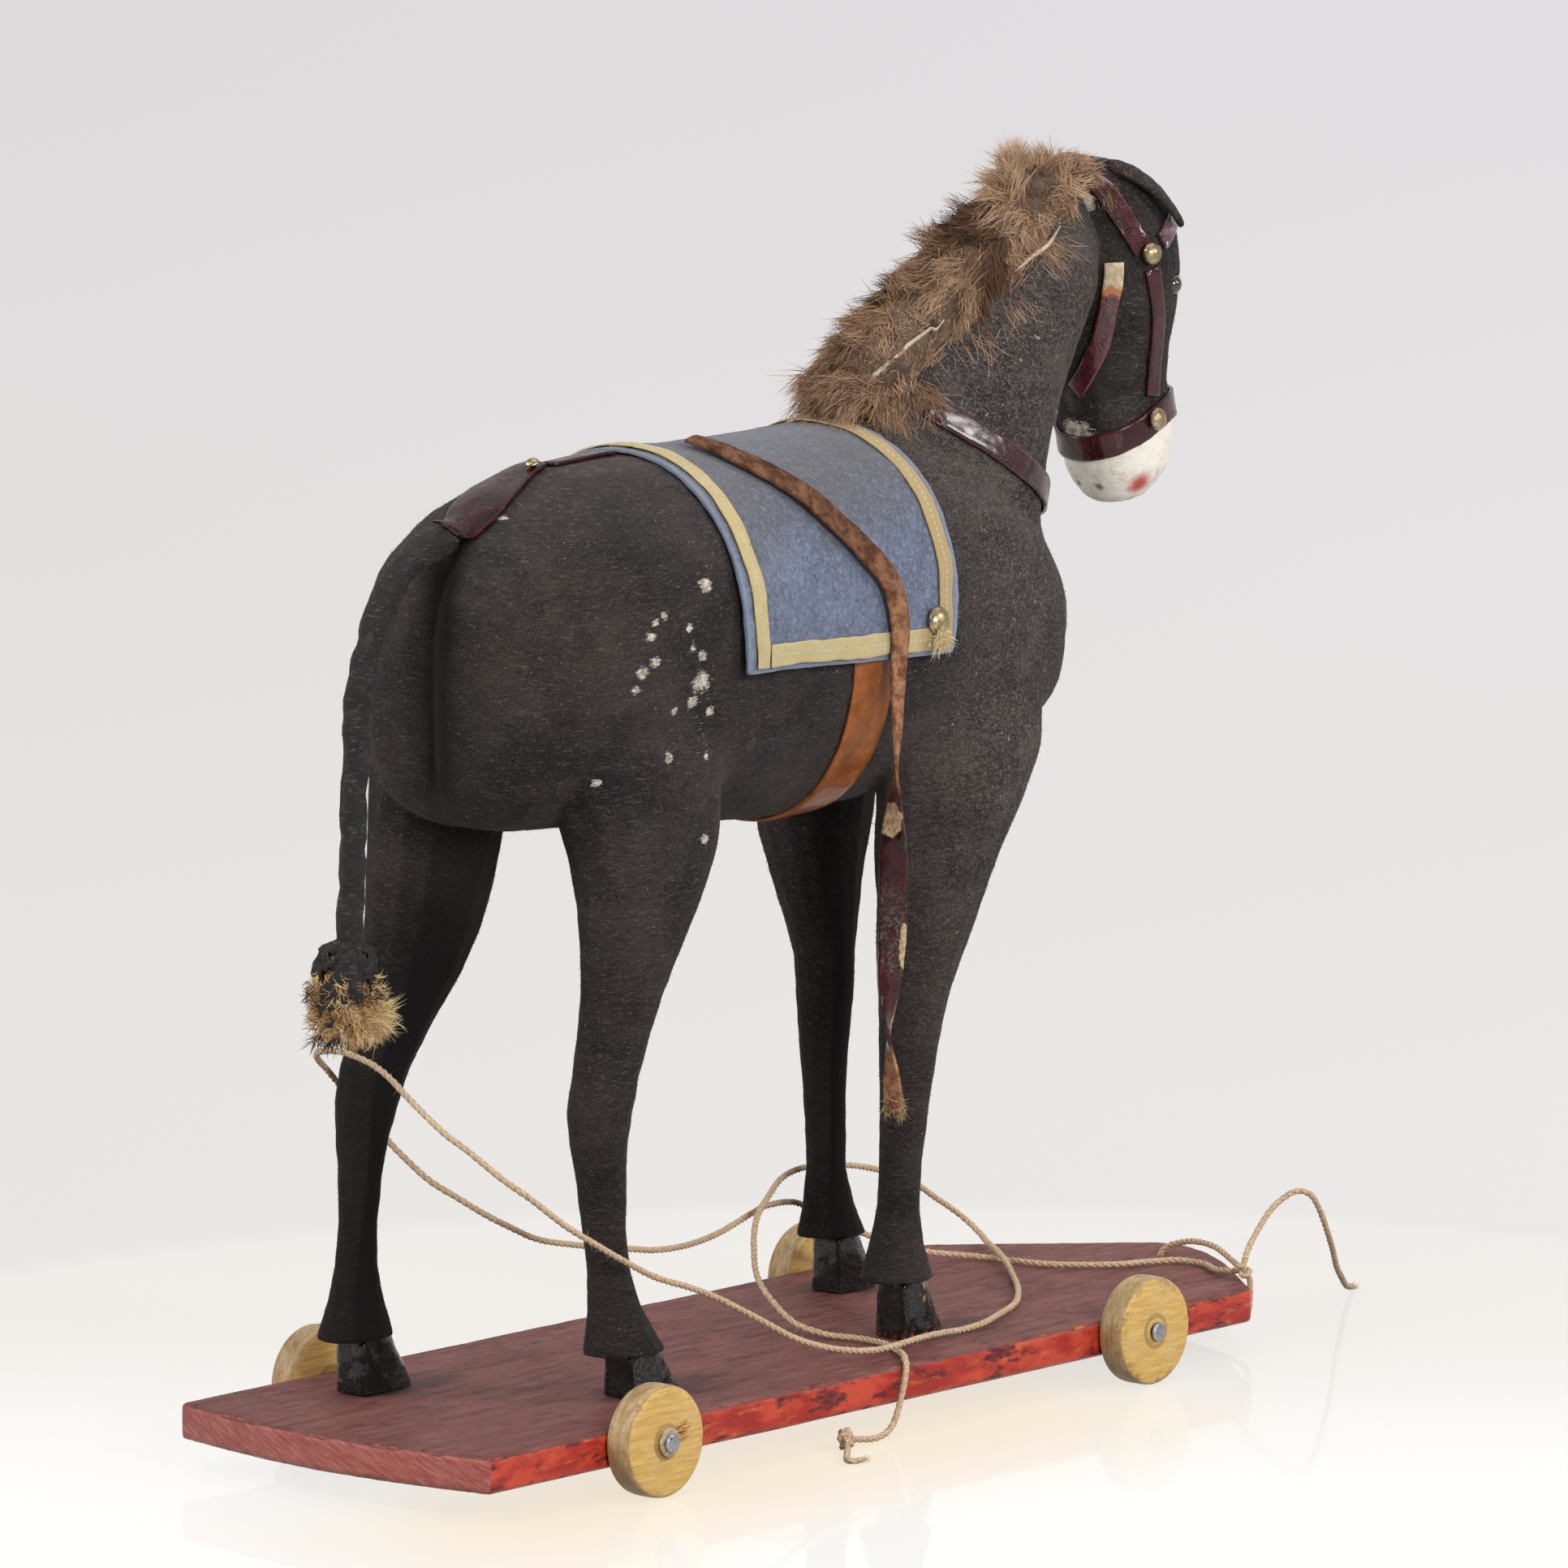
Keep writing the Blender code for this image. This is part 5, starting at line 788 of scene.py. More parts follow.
def build_twine():
    look = twine_look()
    fray = strand_look("jute_fibre", (0.46, 0.32, 0.18), (0.8, 0.64, 0.43), (0.86, 0.72, 0.52), 0.9)

    def frayed(name, tip, way, count, sway, rise, span, *bends):
        roots = [(tip - way * rng.uniform(0, 2) * MM,
                  way + Vector((rng.gauss(0, sway), rng.gauss(0, sway), abs(rng.gauss(0, rise)))),
                  rng.uniform(*span) * MM, rng.random()) for _ in range(count)]
        return ride(strands(name, roots, fray, *bends))
    wound = []
    knots = (("cord_knot_front", FRONT_KNOT, 2.2, 0.5),
             ("cord_knot_end", END_KNOT + Vector((1.6, 1.2, 0.6)), 2.35, 1.3),
             ("cord_knot_second", END_KNOT + Vector((-2.9, -2.6, 0.2)), 1.95, 2.2))
    for name, centre, size, tilt in knots:
        turn = Matrix.Rotation(tilt, 3, "X") @ Matrix.Rotation(tilt * 0.7, 3, "Y")
        loop = []
        for i in range(60):
            t = 2 * math.pi * i / 60
            p = Vector((math.sin(t) + 2 * math.sin(2 * t), math.cos(t) - 2 * math.cos(2 * t),
                        -1.6 * math.sin(3 * t)))
            p = centre + turn @ p * (size * 0.36)
            loop.append(Vector((p.x, p.y, max(p.z, 1.3))) * MM)
        nodes = [name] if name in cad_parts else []
        made = twine("wound_" + name, loop, look, 1.9 * MM, 0.35 * MM, 5.0 * MM, True, 3)[0]
        wound.append(ride(made, *nodes))
    joins = []
    ends = ((CORD_RUN_ROUTE, 0, FRONT_KNOT), (CORD_RUN_ROUTE, -1, END_KNOT),
            (CORD_LOOP_ROUTE, 0, FRONT_KNOT), (CORD_LOOP_ROUTE, -1, FRONT_KNOT),
            (CORD_END_ROUTE, 0, FRONT_KNOT))
    for k, (run, at, centre) in enumerate(ends):
        end, inside = Vector(run[at]), centre * MM
        way = [end, end.lerp(inside, 0.3), end.lerp(inside, 0.7)]
        joins.append(ride(twine("knot_strand_%d" % k, way, look, seed=20 + k)[0]))
    stub = [(END_KNOT + Vector(p)) * MM for p in ((-2.5, -2.5, -0.2), (-6.0, -6.2, -0.9),
                                                  (-10.5, -10.0, -1.4), (-14.6, -13.2, -1.7),
                                                  (-16.8, -15.6, -1.8), (-16.0, -17.6, -1.9),
                                                  (-13.4, -18.4, -1.9))]
    short = ride(twine("twisted_short_end", smooth_rows([tuple(p) for p in stub], 8), look, seed=9)[0])
    fringe = frayed("frayed_short_end", stub[-1], (stub[-1] - stub[-2]).normalized(), 90, 0.3, 0.14,
                    (2, 4), 0.2 * MM, 4, 0.2, 0.45)
    cords = (("pull_cord", CORD_RUN_ROUTE, "knot", (wound[1], wound[2], joins[1], short, fringe)),
             ("cord_loop", CORD_LOOP_ROUTE, "object", ()), ("cord_loose_end", CORD_END_ROUTE, "bare", ()))
    for k, (name, run, end, pieces) in enumerate(cords):
        cord, path, total = twine("twisted_" + name, smooth_rows(run, 10), look, seed=k + 1)
        ride(cord, name)
        hairs = []
        for p in path[::3]:
            d = scatter(1).normalized()
            if p[2] + d.z * 2 * MM > 1.0 * MM:
                hairs.append((p, d, rng.uniform(1.6, 3.4) * MM, rng.random()))
        extra = [ride(strands("fuzz_" + name, hairs, fray, 0.1 * MM, 3, 0.2, 0.5)), *pieces]
        if end == "bare":
            tip = Vector(path[-1])
            extra.append(frayed("frayed_front_end", tip, (tip - Vector(path[-12])).normalized(), 110,
                                0.25, 0.12, (3, 7), 0.22 * MM, 4, 0.15, 0.35))


def cad_arrays(*nodes):
    verts, faces = [], []
    for node in nodes:
        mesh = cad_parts[node].data
        start = len(verts)
        verts.extend(v.co.copy() for v in mesh.vertices)
        faces.extend(tuple(start + i for i in p.vertices) for p in mesh.polygons)
    return verts, faces


def welded(name, *nodes, grow=0.0):
    verts, faces = cad_arrays(*nodes)
    made = mesh_object(name, verts, faces)
    shape = bmesh.new()
    shape.from_mesh(made.data)
    bmesh.ops.remove_doubles(shape, verts=shape.verts, dist=2e-06)
    bmesh.ops.recalc_face_normals(shape, faces=shape.faces)
    shape.normal_update()
    if grow:
        for v, move in [(v, v.normal * grow) for v in shape.verts]:
            v.co += move
    shape.to_mesh(made.data)
    shape.free()
    return made


def bake(made, *modifiers):
    for kind, values in modifiers:
        mod = made.modifiers.new(kind, kind)
        for key, value in values.items():
            setattr(mod, key, value)
    graph = bpy.context.evaluated_depsgraph_get()
    mesh = bpy.data.meshes.new_from_object(made.evaluated_get(graph))
    old = made.data
    made.modifiers.clear()
    made.data = mesh
    bpy.data.meshes.remove(old)
    mesh.shade_smooth()
    return made


def remeshed(name, voxel, smooth, *nodes, grow=0.0):
    made = welded(name, *nodes, grow=grow)
    steps = [("REMESH", {"mode": "VOXEL", "voxel_size": voxel})]
    if smooth:
        steps.append(("SMOOTH", {"factor": 0.5, "iterations": smooth}))
    return bake(made, *steps)


def points_of(made, what="co"):
    values = np.empty(len(made.data.vertices) * 3)
    made.data.vertices.foreach_get(what, values)
    return values.reshape(-1, 3)


def normals_of(made):
    return points_of(made, "normal")


def set_points(made, points):
    made.data.vertices.foreach_set("co", np.asarray(points, dtype=float).ravel())
    made.data.update()


def set_attribute(made, name, values):
    made.data.attributes.new(name, "FLOAT", "POINT").data.foreach_set(
            "value", np.asarray(values, dtype=float).ravel())


def field(points, scale, octaves=3, offset=0.0):
    """Smooth noise in about -1..1 at each point; scale is the size of a lump in metres."""
    out = np.empty(len(points))
    for i, p in enumerate(points):
        q = Vector((p[0] / scale + offset, p[1] / scale, p[2] / scale))
        out[i] = noise.fractal(q, 1.0, 2.0, octaves)
    return out


def rough(made, *layers):
    """Moves the surface along its normals: each layer is (lump size, height, octaves)."""
    points, normals = points_of(made), normals_of(made)
    move = np.zeros(len(points))
    for k, (size, height, octaves) in enumerate(layers):
        move += field(points, size, octaves, 3.7 * k) * height
    set_points(made, points + normals * move[:, None])
    return made


def blob(points, centre, radius, stretch=(1, 1, 1)):
    """1 near a centre, falling to 0 at one and a half radius; both in mm."""
    gap = (points - np.array(centre) * MM) / np.array(stretch)
    return np.clip(1.5 - np.linalg.norm(gap, axis=1) / (radius * MM), 0, 1)


def blobs_at(points, *blobs):
    return np.maximum.reduce([blob(points, *values) for values in blobs])


def step01(values, low, high):
    t = np.clip((values - low) / (high - low), 0, 1)
    return t * t * (3 - 2 * t)


def sharp_points(made, angle=0.9):
    shape = bmesh.new()
    shape.from_mesh(made.data)
    shape.normal_update()
    found = []
    for edge in shape.edges:
        if len(edge.link_faces) == 2 and edge.calc_face_angle(0.0) > angle:
            a, b = edge.verts[0].co, edge.verts[1].co
            parts = max(1, int((b - a).length / (0.6 * MM)))
            found.extend(tuple(a.lerp(b, k / parts)) for k in range(parts + 1))
    shape.free()
    return found


def near_points(points, targets, reach):
    """1 on the target points, falling to 0 at reach."""
    tree = KDTree(len(targets))
    for i, t in enumerate(targets):
        tree.insert(t, i)
    tree.balance()
    return np.array([max(0.0, 1 - tree.find(p)[2] / reach) for p in points])


def dressed(name, node, material, levels=2, crease=0.6, layers=(), body="toy", edge=0.0):
    """A finer copy of a frame piece: rounded edges, then a surface with lumps and dents."""
    made = welded(name, node)
    shape = bmesh.new()
    shape.from_mesh(made.data)
    bmesh.ops.join_triangles(shape, faces=shape.faces, angle_face_threshold=0.6,
                             angle_shape_threshold=1.2)
    shape.normal_update()
    layer = shape.edges.layers.float.get("crease_edge") or shape.edges.layers.float.new("crease_edge")
    for e in shape.edges:
        if len(e.link_faces) == 2 and e.calc_face_angle(0.0) > 0.9:
            e[layer] = crease
    shape.to_mesh(made.data)
    shape.free()
    rim = sharp_points(made) if edge else []
    bake(made, ("SUBSURF", {"levels": levels, "render_levels": levels}))
    if layers:
        rough(made, *layers)
    if edge:
        set_attribute(made, "edge", near_points(points_of(made), rim, edge))
    painted(made, material)
    return ride(made, node, body=body)


def ragged(made, keep, thickness):
    """Leaves only the faces that keep(centre) accepts, then gives that cloth its thickness."""
    shape = bmesh.new()
    shape.from_mesh(made.data)
    gone = [f for f in shape.faces if not keep(f.calc_center_median())]
    bmesh.ops.delete(shape, geom=gone, context="FACES")
    shape.to_mesh(made.data)
    shape.free()
    return bake(made, ("SOLIDIFY", {"thickness": thickness, "offset": 0.0}))


def eased(made, points, places, reach, rounds=90):
    """Fills the creases near the given places, where the carved parts of the body run into each other."""
    weight = blobs_at(points, *[(place, reach) for place in places])
    count = len(made.data.edges)
    pairs = np.empty(count * 2, dtype=np.int64)
    made.data.edges.foreach_get("vertices", pairs)
    pairs = pairs.reshape(-1, 2)
    pairs = pairs[(weight[pairs[:, 0]] > 0) | (weight[pairs[:, 1]] > 0)]
    used = np.unique(pairs)
    place_of = np.full(len(points), -1)
    place_of[used] = np.arange(len(used))
    a, b = place_of[pairs[:, 0]], place_of[pairs[:, 1]]
    near = np.bincount(np.concatenate((a, b)), minlength=len(used))[:, None]
    share = np.minimum(weight[used], 1.0)[:, None] * 0.5
    here = points[used].copy()
    for _ in range(rounds):
        total = np.empty_like(here)
        for k in range(3):
            total[:, k] = np.bincount(a, here[b, k], len(used)) + np.bincount(b, here[a, k], len(used))
        here += (total / near - here) * share
    moved = points.copy()
    moved[used] = here
    return moved


def area_points(made, count):
    """Random places on a mesh, even by area, with their normals."""
    mesh = made.data
    mesh.calc_loop_triangles()
    places = points_of(made)
    tris = np.array([t.vertices[:] for t in mesh.loop_triangles])
    a, b, c = places[tris[:, 0]], places[tris[:, 1]], places[tris[:, 2]]
    across = np.cross(b - a, c - a)
    size = np.linalg.norm(across, axis=1)
    source = np.random.default_rng(17)
    pick = source.choice(len(tris), count, p=size / size.sum())
    u, v = source.random(count), source.random(count)
    flip = u + v > 1
    u[flip], v[flip] = 1 - u[flip], 1 - v[flip]
    spots = a[pick] + (b - a)[pick] * u[:, None] + (c - a)[pick] * v[:, None]
    normal = across[pick] / np.maximum(size[pick], 1e-15)[:, None]
    return spots, normal


def build_coat():
    coat = remeshed("flocked_coat", (0.95) * MM, 5, *BODY, grow=0.00035)
    points, normals = points_of(coat), normals_of(coat)
    head = step01(points[:, 0], 0.14, 0.15) * step01(points[:, 2], 0.255, 0.265)
    bumps = field(points, 0.03, 2) * 0.00045 + field(points, 0.006, 3, 9.0) * 0.00016
    # The cleft dents the surface; its darkening, in the shade mark, is painted shade.
    cleft = np.clip(1 - np.abs(points[:, 1] - 0.001) / 0.009, 0, 1) ** 1.6
    cleft *= step01(-points[:, 0], 0.128, 0.145)
    cleft *= step01(points[:, 2], 0.206, 0.222) * step01(-points[:, 2], -0.298, -0.285)
    for creases, reach, rounds in CREASES:
        points = eased(coat, points, creases, reach, rounds)
    bumps = bumps + blob(points, (109, -20, 219), 13) * 0.002
    set_points(coat, points + normals * (bumps - cleft * 0.0035 - 0.0001)[:, None])
    x, y, z = points.T
    wear = np.maximum.reduce(
            [blob(points, place, radius, (1.25, 1.6, 1.0)) * 0.9 for *place, radius in WORN]
            + [blob(points, place, radius, (1.0, 1.6, 1.3)) * most for *place, radius, most in RUBBED])
    muzzle = step01(0.289 + (x - 0.153) * 0.5 + 0.0035 - z, -0.001, 0.001) * head
    pink = np.maximum(blob(points, (168, -12, 279), 3.2, (1.2, 1, 1.3)),
                      blob(points, (175, -12, 287), 2.6) * 0.35)
    dots = np.maximum(blob(points, (157, 4, 279.5), 1.0), blob(points, (158, -4, 279), 1.3, (1.5, 1, 1)))
    gloss = np.maximum.reduce([blob(points, place, radius) for *place, radius in GLOSSY])
    gloss *= head * (1 - muzzle)
    tan = gloss * 0.8 + blob(points, (-145, -29, 227), 2.6, (1.6, 1, 0.8)) * 0.9
    stub = np.maximum(blob(points, (148, -7, 372), 2.4, (1.2, 1, 1.6)),
                      blob(points, (150, 0, 297), 5.4, (0.9, 1.3, 0.75)) * head * 0.95)
    # Lower legs darker in colour, with painted shade stronger and reaching higher on the left legs, on the
    # far side.
    dark_shins_and_shade = np.where(y > 0, step01(-z, -0.215, -0.11) * 0.8, step01(-z, -0.15, -0.045) * 0.3)
    # Painted shadow: a dark band on the buttock beside the tail, about a centre line that shifts with
    # height.
    middle = np.interp(z, (0.203, 0.22, 0.257, 0.269, 0.281, 0.29),
                       (-0.001, -0.003, -0.003, -0.002, 0.0, 0.002))
    painted_tail_shadow = np.clip(1.6 - np.abs(y - middle) / 0.0062, 0, 1) * step01(-x, 0.132, 0.142)
    painted_tail_shadow *= step01(z, 0.2, 0.216) * step01(-z, -0.29, -0.28)
    # Painted shade on the right-facing sides of the left legs, below the belly.
    painted_leg_shade = step01(normals @ np.array(RIGHT), -0.1, 0.6) * (y > 0.012)
    painted_leg_shade *= step01(-z, -0.205, -0.19) * 0.5
    # The shade mark: painted shade in the cleft, beside the tail and on the legs, with the muzzle's real
    # dark dots.
    shade = np.maximum(np.maximum(cleft * 0.85, painted_tail_shadow * 0.97) + dark_shins_and_shade + painted_leg_shade, dots * muzzle)
    marks = {"wear": np.maximum(wear, stub), "muzzle": muzzle, "pink": pink * muzzle,
             "gloss": gloss + muzzle * 0.45, "tan": tan, "shade": np.clip(shade, 0, 1)}
    for name, values in marks.items():
        set_attribute(coat, name, values)
    look = flock_look()
    painted(coat, look)
    ride(coat, *BODY)
    for side in SIDES:
        ear = dressed("flocked_ear_" + side, "ear_" + side, look, 2, 0.3,
                      ((0.012, 0.0004, 3), (0.003, 0.00015, 2)))
        folded = np.clip(normals_of(ear)[:, 2] * 1.4, 0, 0.9)
        for name in marks:
            set_attribute(ear, name, folded if name == "tan" else np.zeros(len(folded)))
    build_nap(coat)


def build_nap(coat):
    """Short flock fibres standing off the coat, which soften its outline."""
    points, normals = points_of(coat), normals_of(coat)
    roots = []
    count = len(points)
    for _ in range(26000):
        i = rng.randrange(count)
        p, n = Vector(points[i]), Vector(normals[i])
        if abs(n.dot(BACK)) > 0.35 or (p.x > 0.145 and p.z < 0.3):
            continue
        d = n + scatter(0.35, (0, 0, -0.3))
        roots.append((p, d, rng.uniform(0.4, 1.0) * MM, rng.random()))
    look = strand_look("flock_fibre", (0.03, 0.025, 0.023), (0.1, 0.085, 0.075), (0.16, 0.14, 0.12), 0.9)
    ride(strands("flock_nap", roots, look, 0.1 * MM, 2, 0.1, 0.3))


# Bare edges of the hide along the mane, in mm.
SEAMS = (((27, -13, 323), (36, -15, 329), (46, -16, 334), (55, -17, 338), (63, -17, 341)),
         ((100, -16, 353.5), (108, -16.5, 358), (116, -16.3, 361), (124, -13, 365)))
# Thin fur: place, size, count, direction, length from and to, and shade.
FUR_PATCHES = (
        ((34, -8, 316), (13, 8, 7), 300, (-0.35, -0.25, -0.8), (9, 14), 0.45),
        ((44, -14, 312), (9, 5, 5), 260, (0.15, -0.3, -1.0), (7, 12), 0.4),
        ((76, -15, 334), (11, 4, 6), 120, (0.1, -0.2, -1.0), (8, 13), 0.62),
        ((96, -17, 344), (8, 4, 6), 90, (0.1, -0.2, -1.0), (8, 12), 0.7),
        ((118, -14, 360), (9, 4, 7), 140, (0.35, -0.3, -0.9), (6, 10), 0.75),
        ((53, -18, 319), (4, 3, 4), 320, (0.3, -0.3, -0.8), (7, 12), 0.5),
        ((136, -5, 384), (11, 8, 4), 900, (0.9, -0.15, 0.02), (3, 6), 0.75),
        ((140, -12, 382), (6, 4, 4), 420, (0.6, -0.25, -0.45), (2.5, 4.5), 0.55),
        ((150, -14, 374), (4, 3, 4), 60, (0.45, -0.2, -0.8), (2, 3.5), 0.35),
        ((138, 8, 384), (8, 5, 4), 160, (0.8, 0.2, 0.1), (4, 7), 0.75))


def build_fur():
    hide_look = Look("fur_hide", (0.15, 0.11, 0.08), 0.9)
    worn = hide_look.ramp(hide_look.noise(160.0, 6.0, 0.7), 0.35, 0.65)
    hide_look.set(Base_Color=hide_look.mix(worn, (0.055, 0.034, 0.022), (0.15, 0.1, 0.066)))
    hide_look.bumps((hide_look.noise(500.0, 5.0), 0.8, 0.0008))
    hide = remeshed("fur_hide", 1.1 * MM, 3, "mane")
    points, normals = points_of(hide), normals_of(hide)
    set_points(hide, points - normals * 0.003 + normals * (field(points, 0.009, 3) * 0.0011)[:, None])
    painted(hide, hide_look.material)
    ride(hide, "mane")
    roots = mane_locks(hide)
    look = strand_look("rabbit_fur", (0.078, 0.036, 0.017), (0.44, 0.25, 0.138), (0.74, 0.515, 0.345),
                       0.7, 0.08)
    ride(strands("rabbit_fur", roots, look, 0.3 * MM, 5, 0.25, 0.3))
    skin = BVHTree.FromPolygons(
            *cad_arrays("neck", "torso", "head", "headstall", "collar_strap", "saddle_cloth",
                        "cloth_ribbon_front"))
    thin = []
    for centre, size, count, flow, span, tone in FUR_PATCHES:
        for _ in range(count):
            p = Vector([(c + rng.gauss(0, 0.5) * s) * MM for c, s in zip(centre, size)])
            place, face, _, _ = skin.find_nearest(p)
            d = Vector(flow) + scatter((0.3, 0.2, 0.3)) + face * 0.3
            thin.append((place + face * 0.2 * MM, d, rng.uniform(*span) * MM,
                         min(1.0, max(0.0, tone + rng.uniform(-0.3, 0.3)))))
    ride(strands("thin_fur", thin, look, 0.24 * MM, 4, 0.3, 0.35))
    seam_look = leather_look("hide_edge", (0.42, 0.33, 0.24), (0.58, 0.48, 0.36), (0.3, 0.22, 0.15), 0.7,
                             0.3, 0.0)
    for k, (line, lift) in enumerate(zip(SEAMS, (8.5, 3.0))):
        rows = []
        for spot in smooth_rows(line, 12):
            place, face, _, _ = skin.find_nearest(Vector(spot) * MM)
            rows.append(place + face * lift * MM)
        rows, frames = along_curve(resample(rows, 0.6 * MM)[0])
        rings = []
        for i, (p, (t, _, _)) in enumerate(zip(rows, frames)):
            part = min(max(i / (len(rows) - 1), 0.04), 0.96)
            wide = 0.75 * MM * math.sin(math.pi * part) ** 0.5 * (1 + 0.4 * noise.noise(p * 900))
            _, face, _, _ = skin.find_nearest(p)
            up = (face - t * face.dot(t)).normalized()
            rings.append(ring(p, t.cross(up), up, wide, 0.9 * MM))
        ride(fix_normals(mesh_object("hide_edge_%d" % k, *loft(rings), seam_look)))


def mane_locks(hide):
    """The mane's locks: over the whole hide, then the crest's tuft, the middle, the end and the collar."""
    seam = [Vector(q) * MM for q in smooth_rows(SEAMS[0], 4)]
    spots, normal = area_points(hide, 640)
    roots = []
    for p, n, w in zip(spots, normal, field(spots, 0.02, 2, 40.0)):
        p, n = Vector(p), Vector(n)
        steep = min(1.0, abs(n.y) * 1.2)
        side = 1.0 if n.y > 0 else -1.0
        flow, lift = Vector((-0.62, side * 0.1, 0.12 - 1.0 * steep)), 0.5
        length = rng.uniform(8.5, 13.5) * MM
        if p.x > 0.108:
            flow, lift = Vector((-0.25, side * 0.12, 0.75 - 1.35 * steep)), 0.75
        if p.x < 0.05:
            flow = Vector((-0.5, side * 0.25, -0.35 - 0.6 * steep))
            length *= 1.1
        if n.y < -0.45 and (0.026 < p.x < 0.064 or 0.098 < p.x < 0.124):
            length *= 0.42
            flow = flow * 0.6 + Vector((-0.6, -0.1, 0.1))
        flow = (flow + scatter((0.35, 0.15, 0.3))).normalized()
        if n.y < 0.2 and min((p - q).length for q in seam) < 8.5 * MM:
            length *= 0.45
        shade = 0.4 + 0.85 * w + rng.uniform(-0.18, 0.18)
        shade += (0.4 if p.x > 0.1 else 0.0) - (0.1 if 0.05 < p.x < 0.09 else 0.0)
        lock(roots, p, n, flow, length, 34, 1.9 * MM, min(0.95, max(0.05, shade)), 0.62,
             lift)
    for _ in range(10):
        base = Vector((0.1185 + rng.gauss(0, 1.9) * MM, rng.gauss(0, 1.5) * MM, 0.379))
        flow = Vector((-0.1 + rng.gauss(0, 0.13), rng.gauss(0, 0.1), 1.0))
        lock(roots, base, Vector((0, 0, 1)), flow, rng.uniform(13, 17.5) * MM, 50, 1.5 * MM, 0.85, 0.8,
             0.1)
    for _ in range(16):
        base = scatter((3.0, 2.0, 1.5), (76.0, -4.0, 352.0)) * MM
        flow = Vector((-1.0, -0.1, -0.1 + rng.gauss(0, 0.12)))
        lock(roots, base, Vector((-0.5, 0, 0.8)), flow, rng.uniform(12, 17) * MM, 40, 1.6 * MM, 0.45,
             0.75, 0.2)
    for _ in range(60):
        base = Vector((rng.uniform(24, 34), rng.uniform(-13, 5), rng.uniform(317, 327))) * MM
        flow = Vector((-0.85, -0.15, -0.3 + rng.gauss(0, 0.12)))
        lock(roots, base, Vector((-0.2, -0.4, 0.85)), flow, rng.uniform(11, 17) * MM, 32, 1.9 * MM,
             rng.uniform(0.35, 0.75), 0.55, 0.25)
    for _ in range(26):
        base = Vector((rng.uniform(32, 50), -14, rng.uniform(314, 321))) * MM
        flow = Vector((-0.15 + rng.gauss(0, 0.2), -0.2, -1.0))
        lock(roots, base, Vector((-0.1, -0.9, 0.3)), flow, rng.uniform(7, 12) * MM, 28, 1.8 * MM,
             rng.uniform(0.3, 0.7), 0.45, 0.25)
    return roots


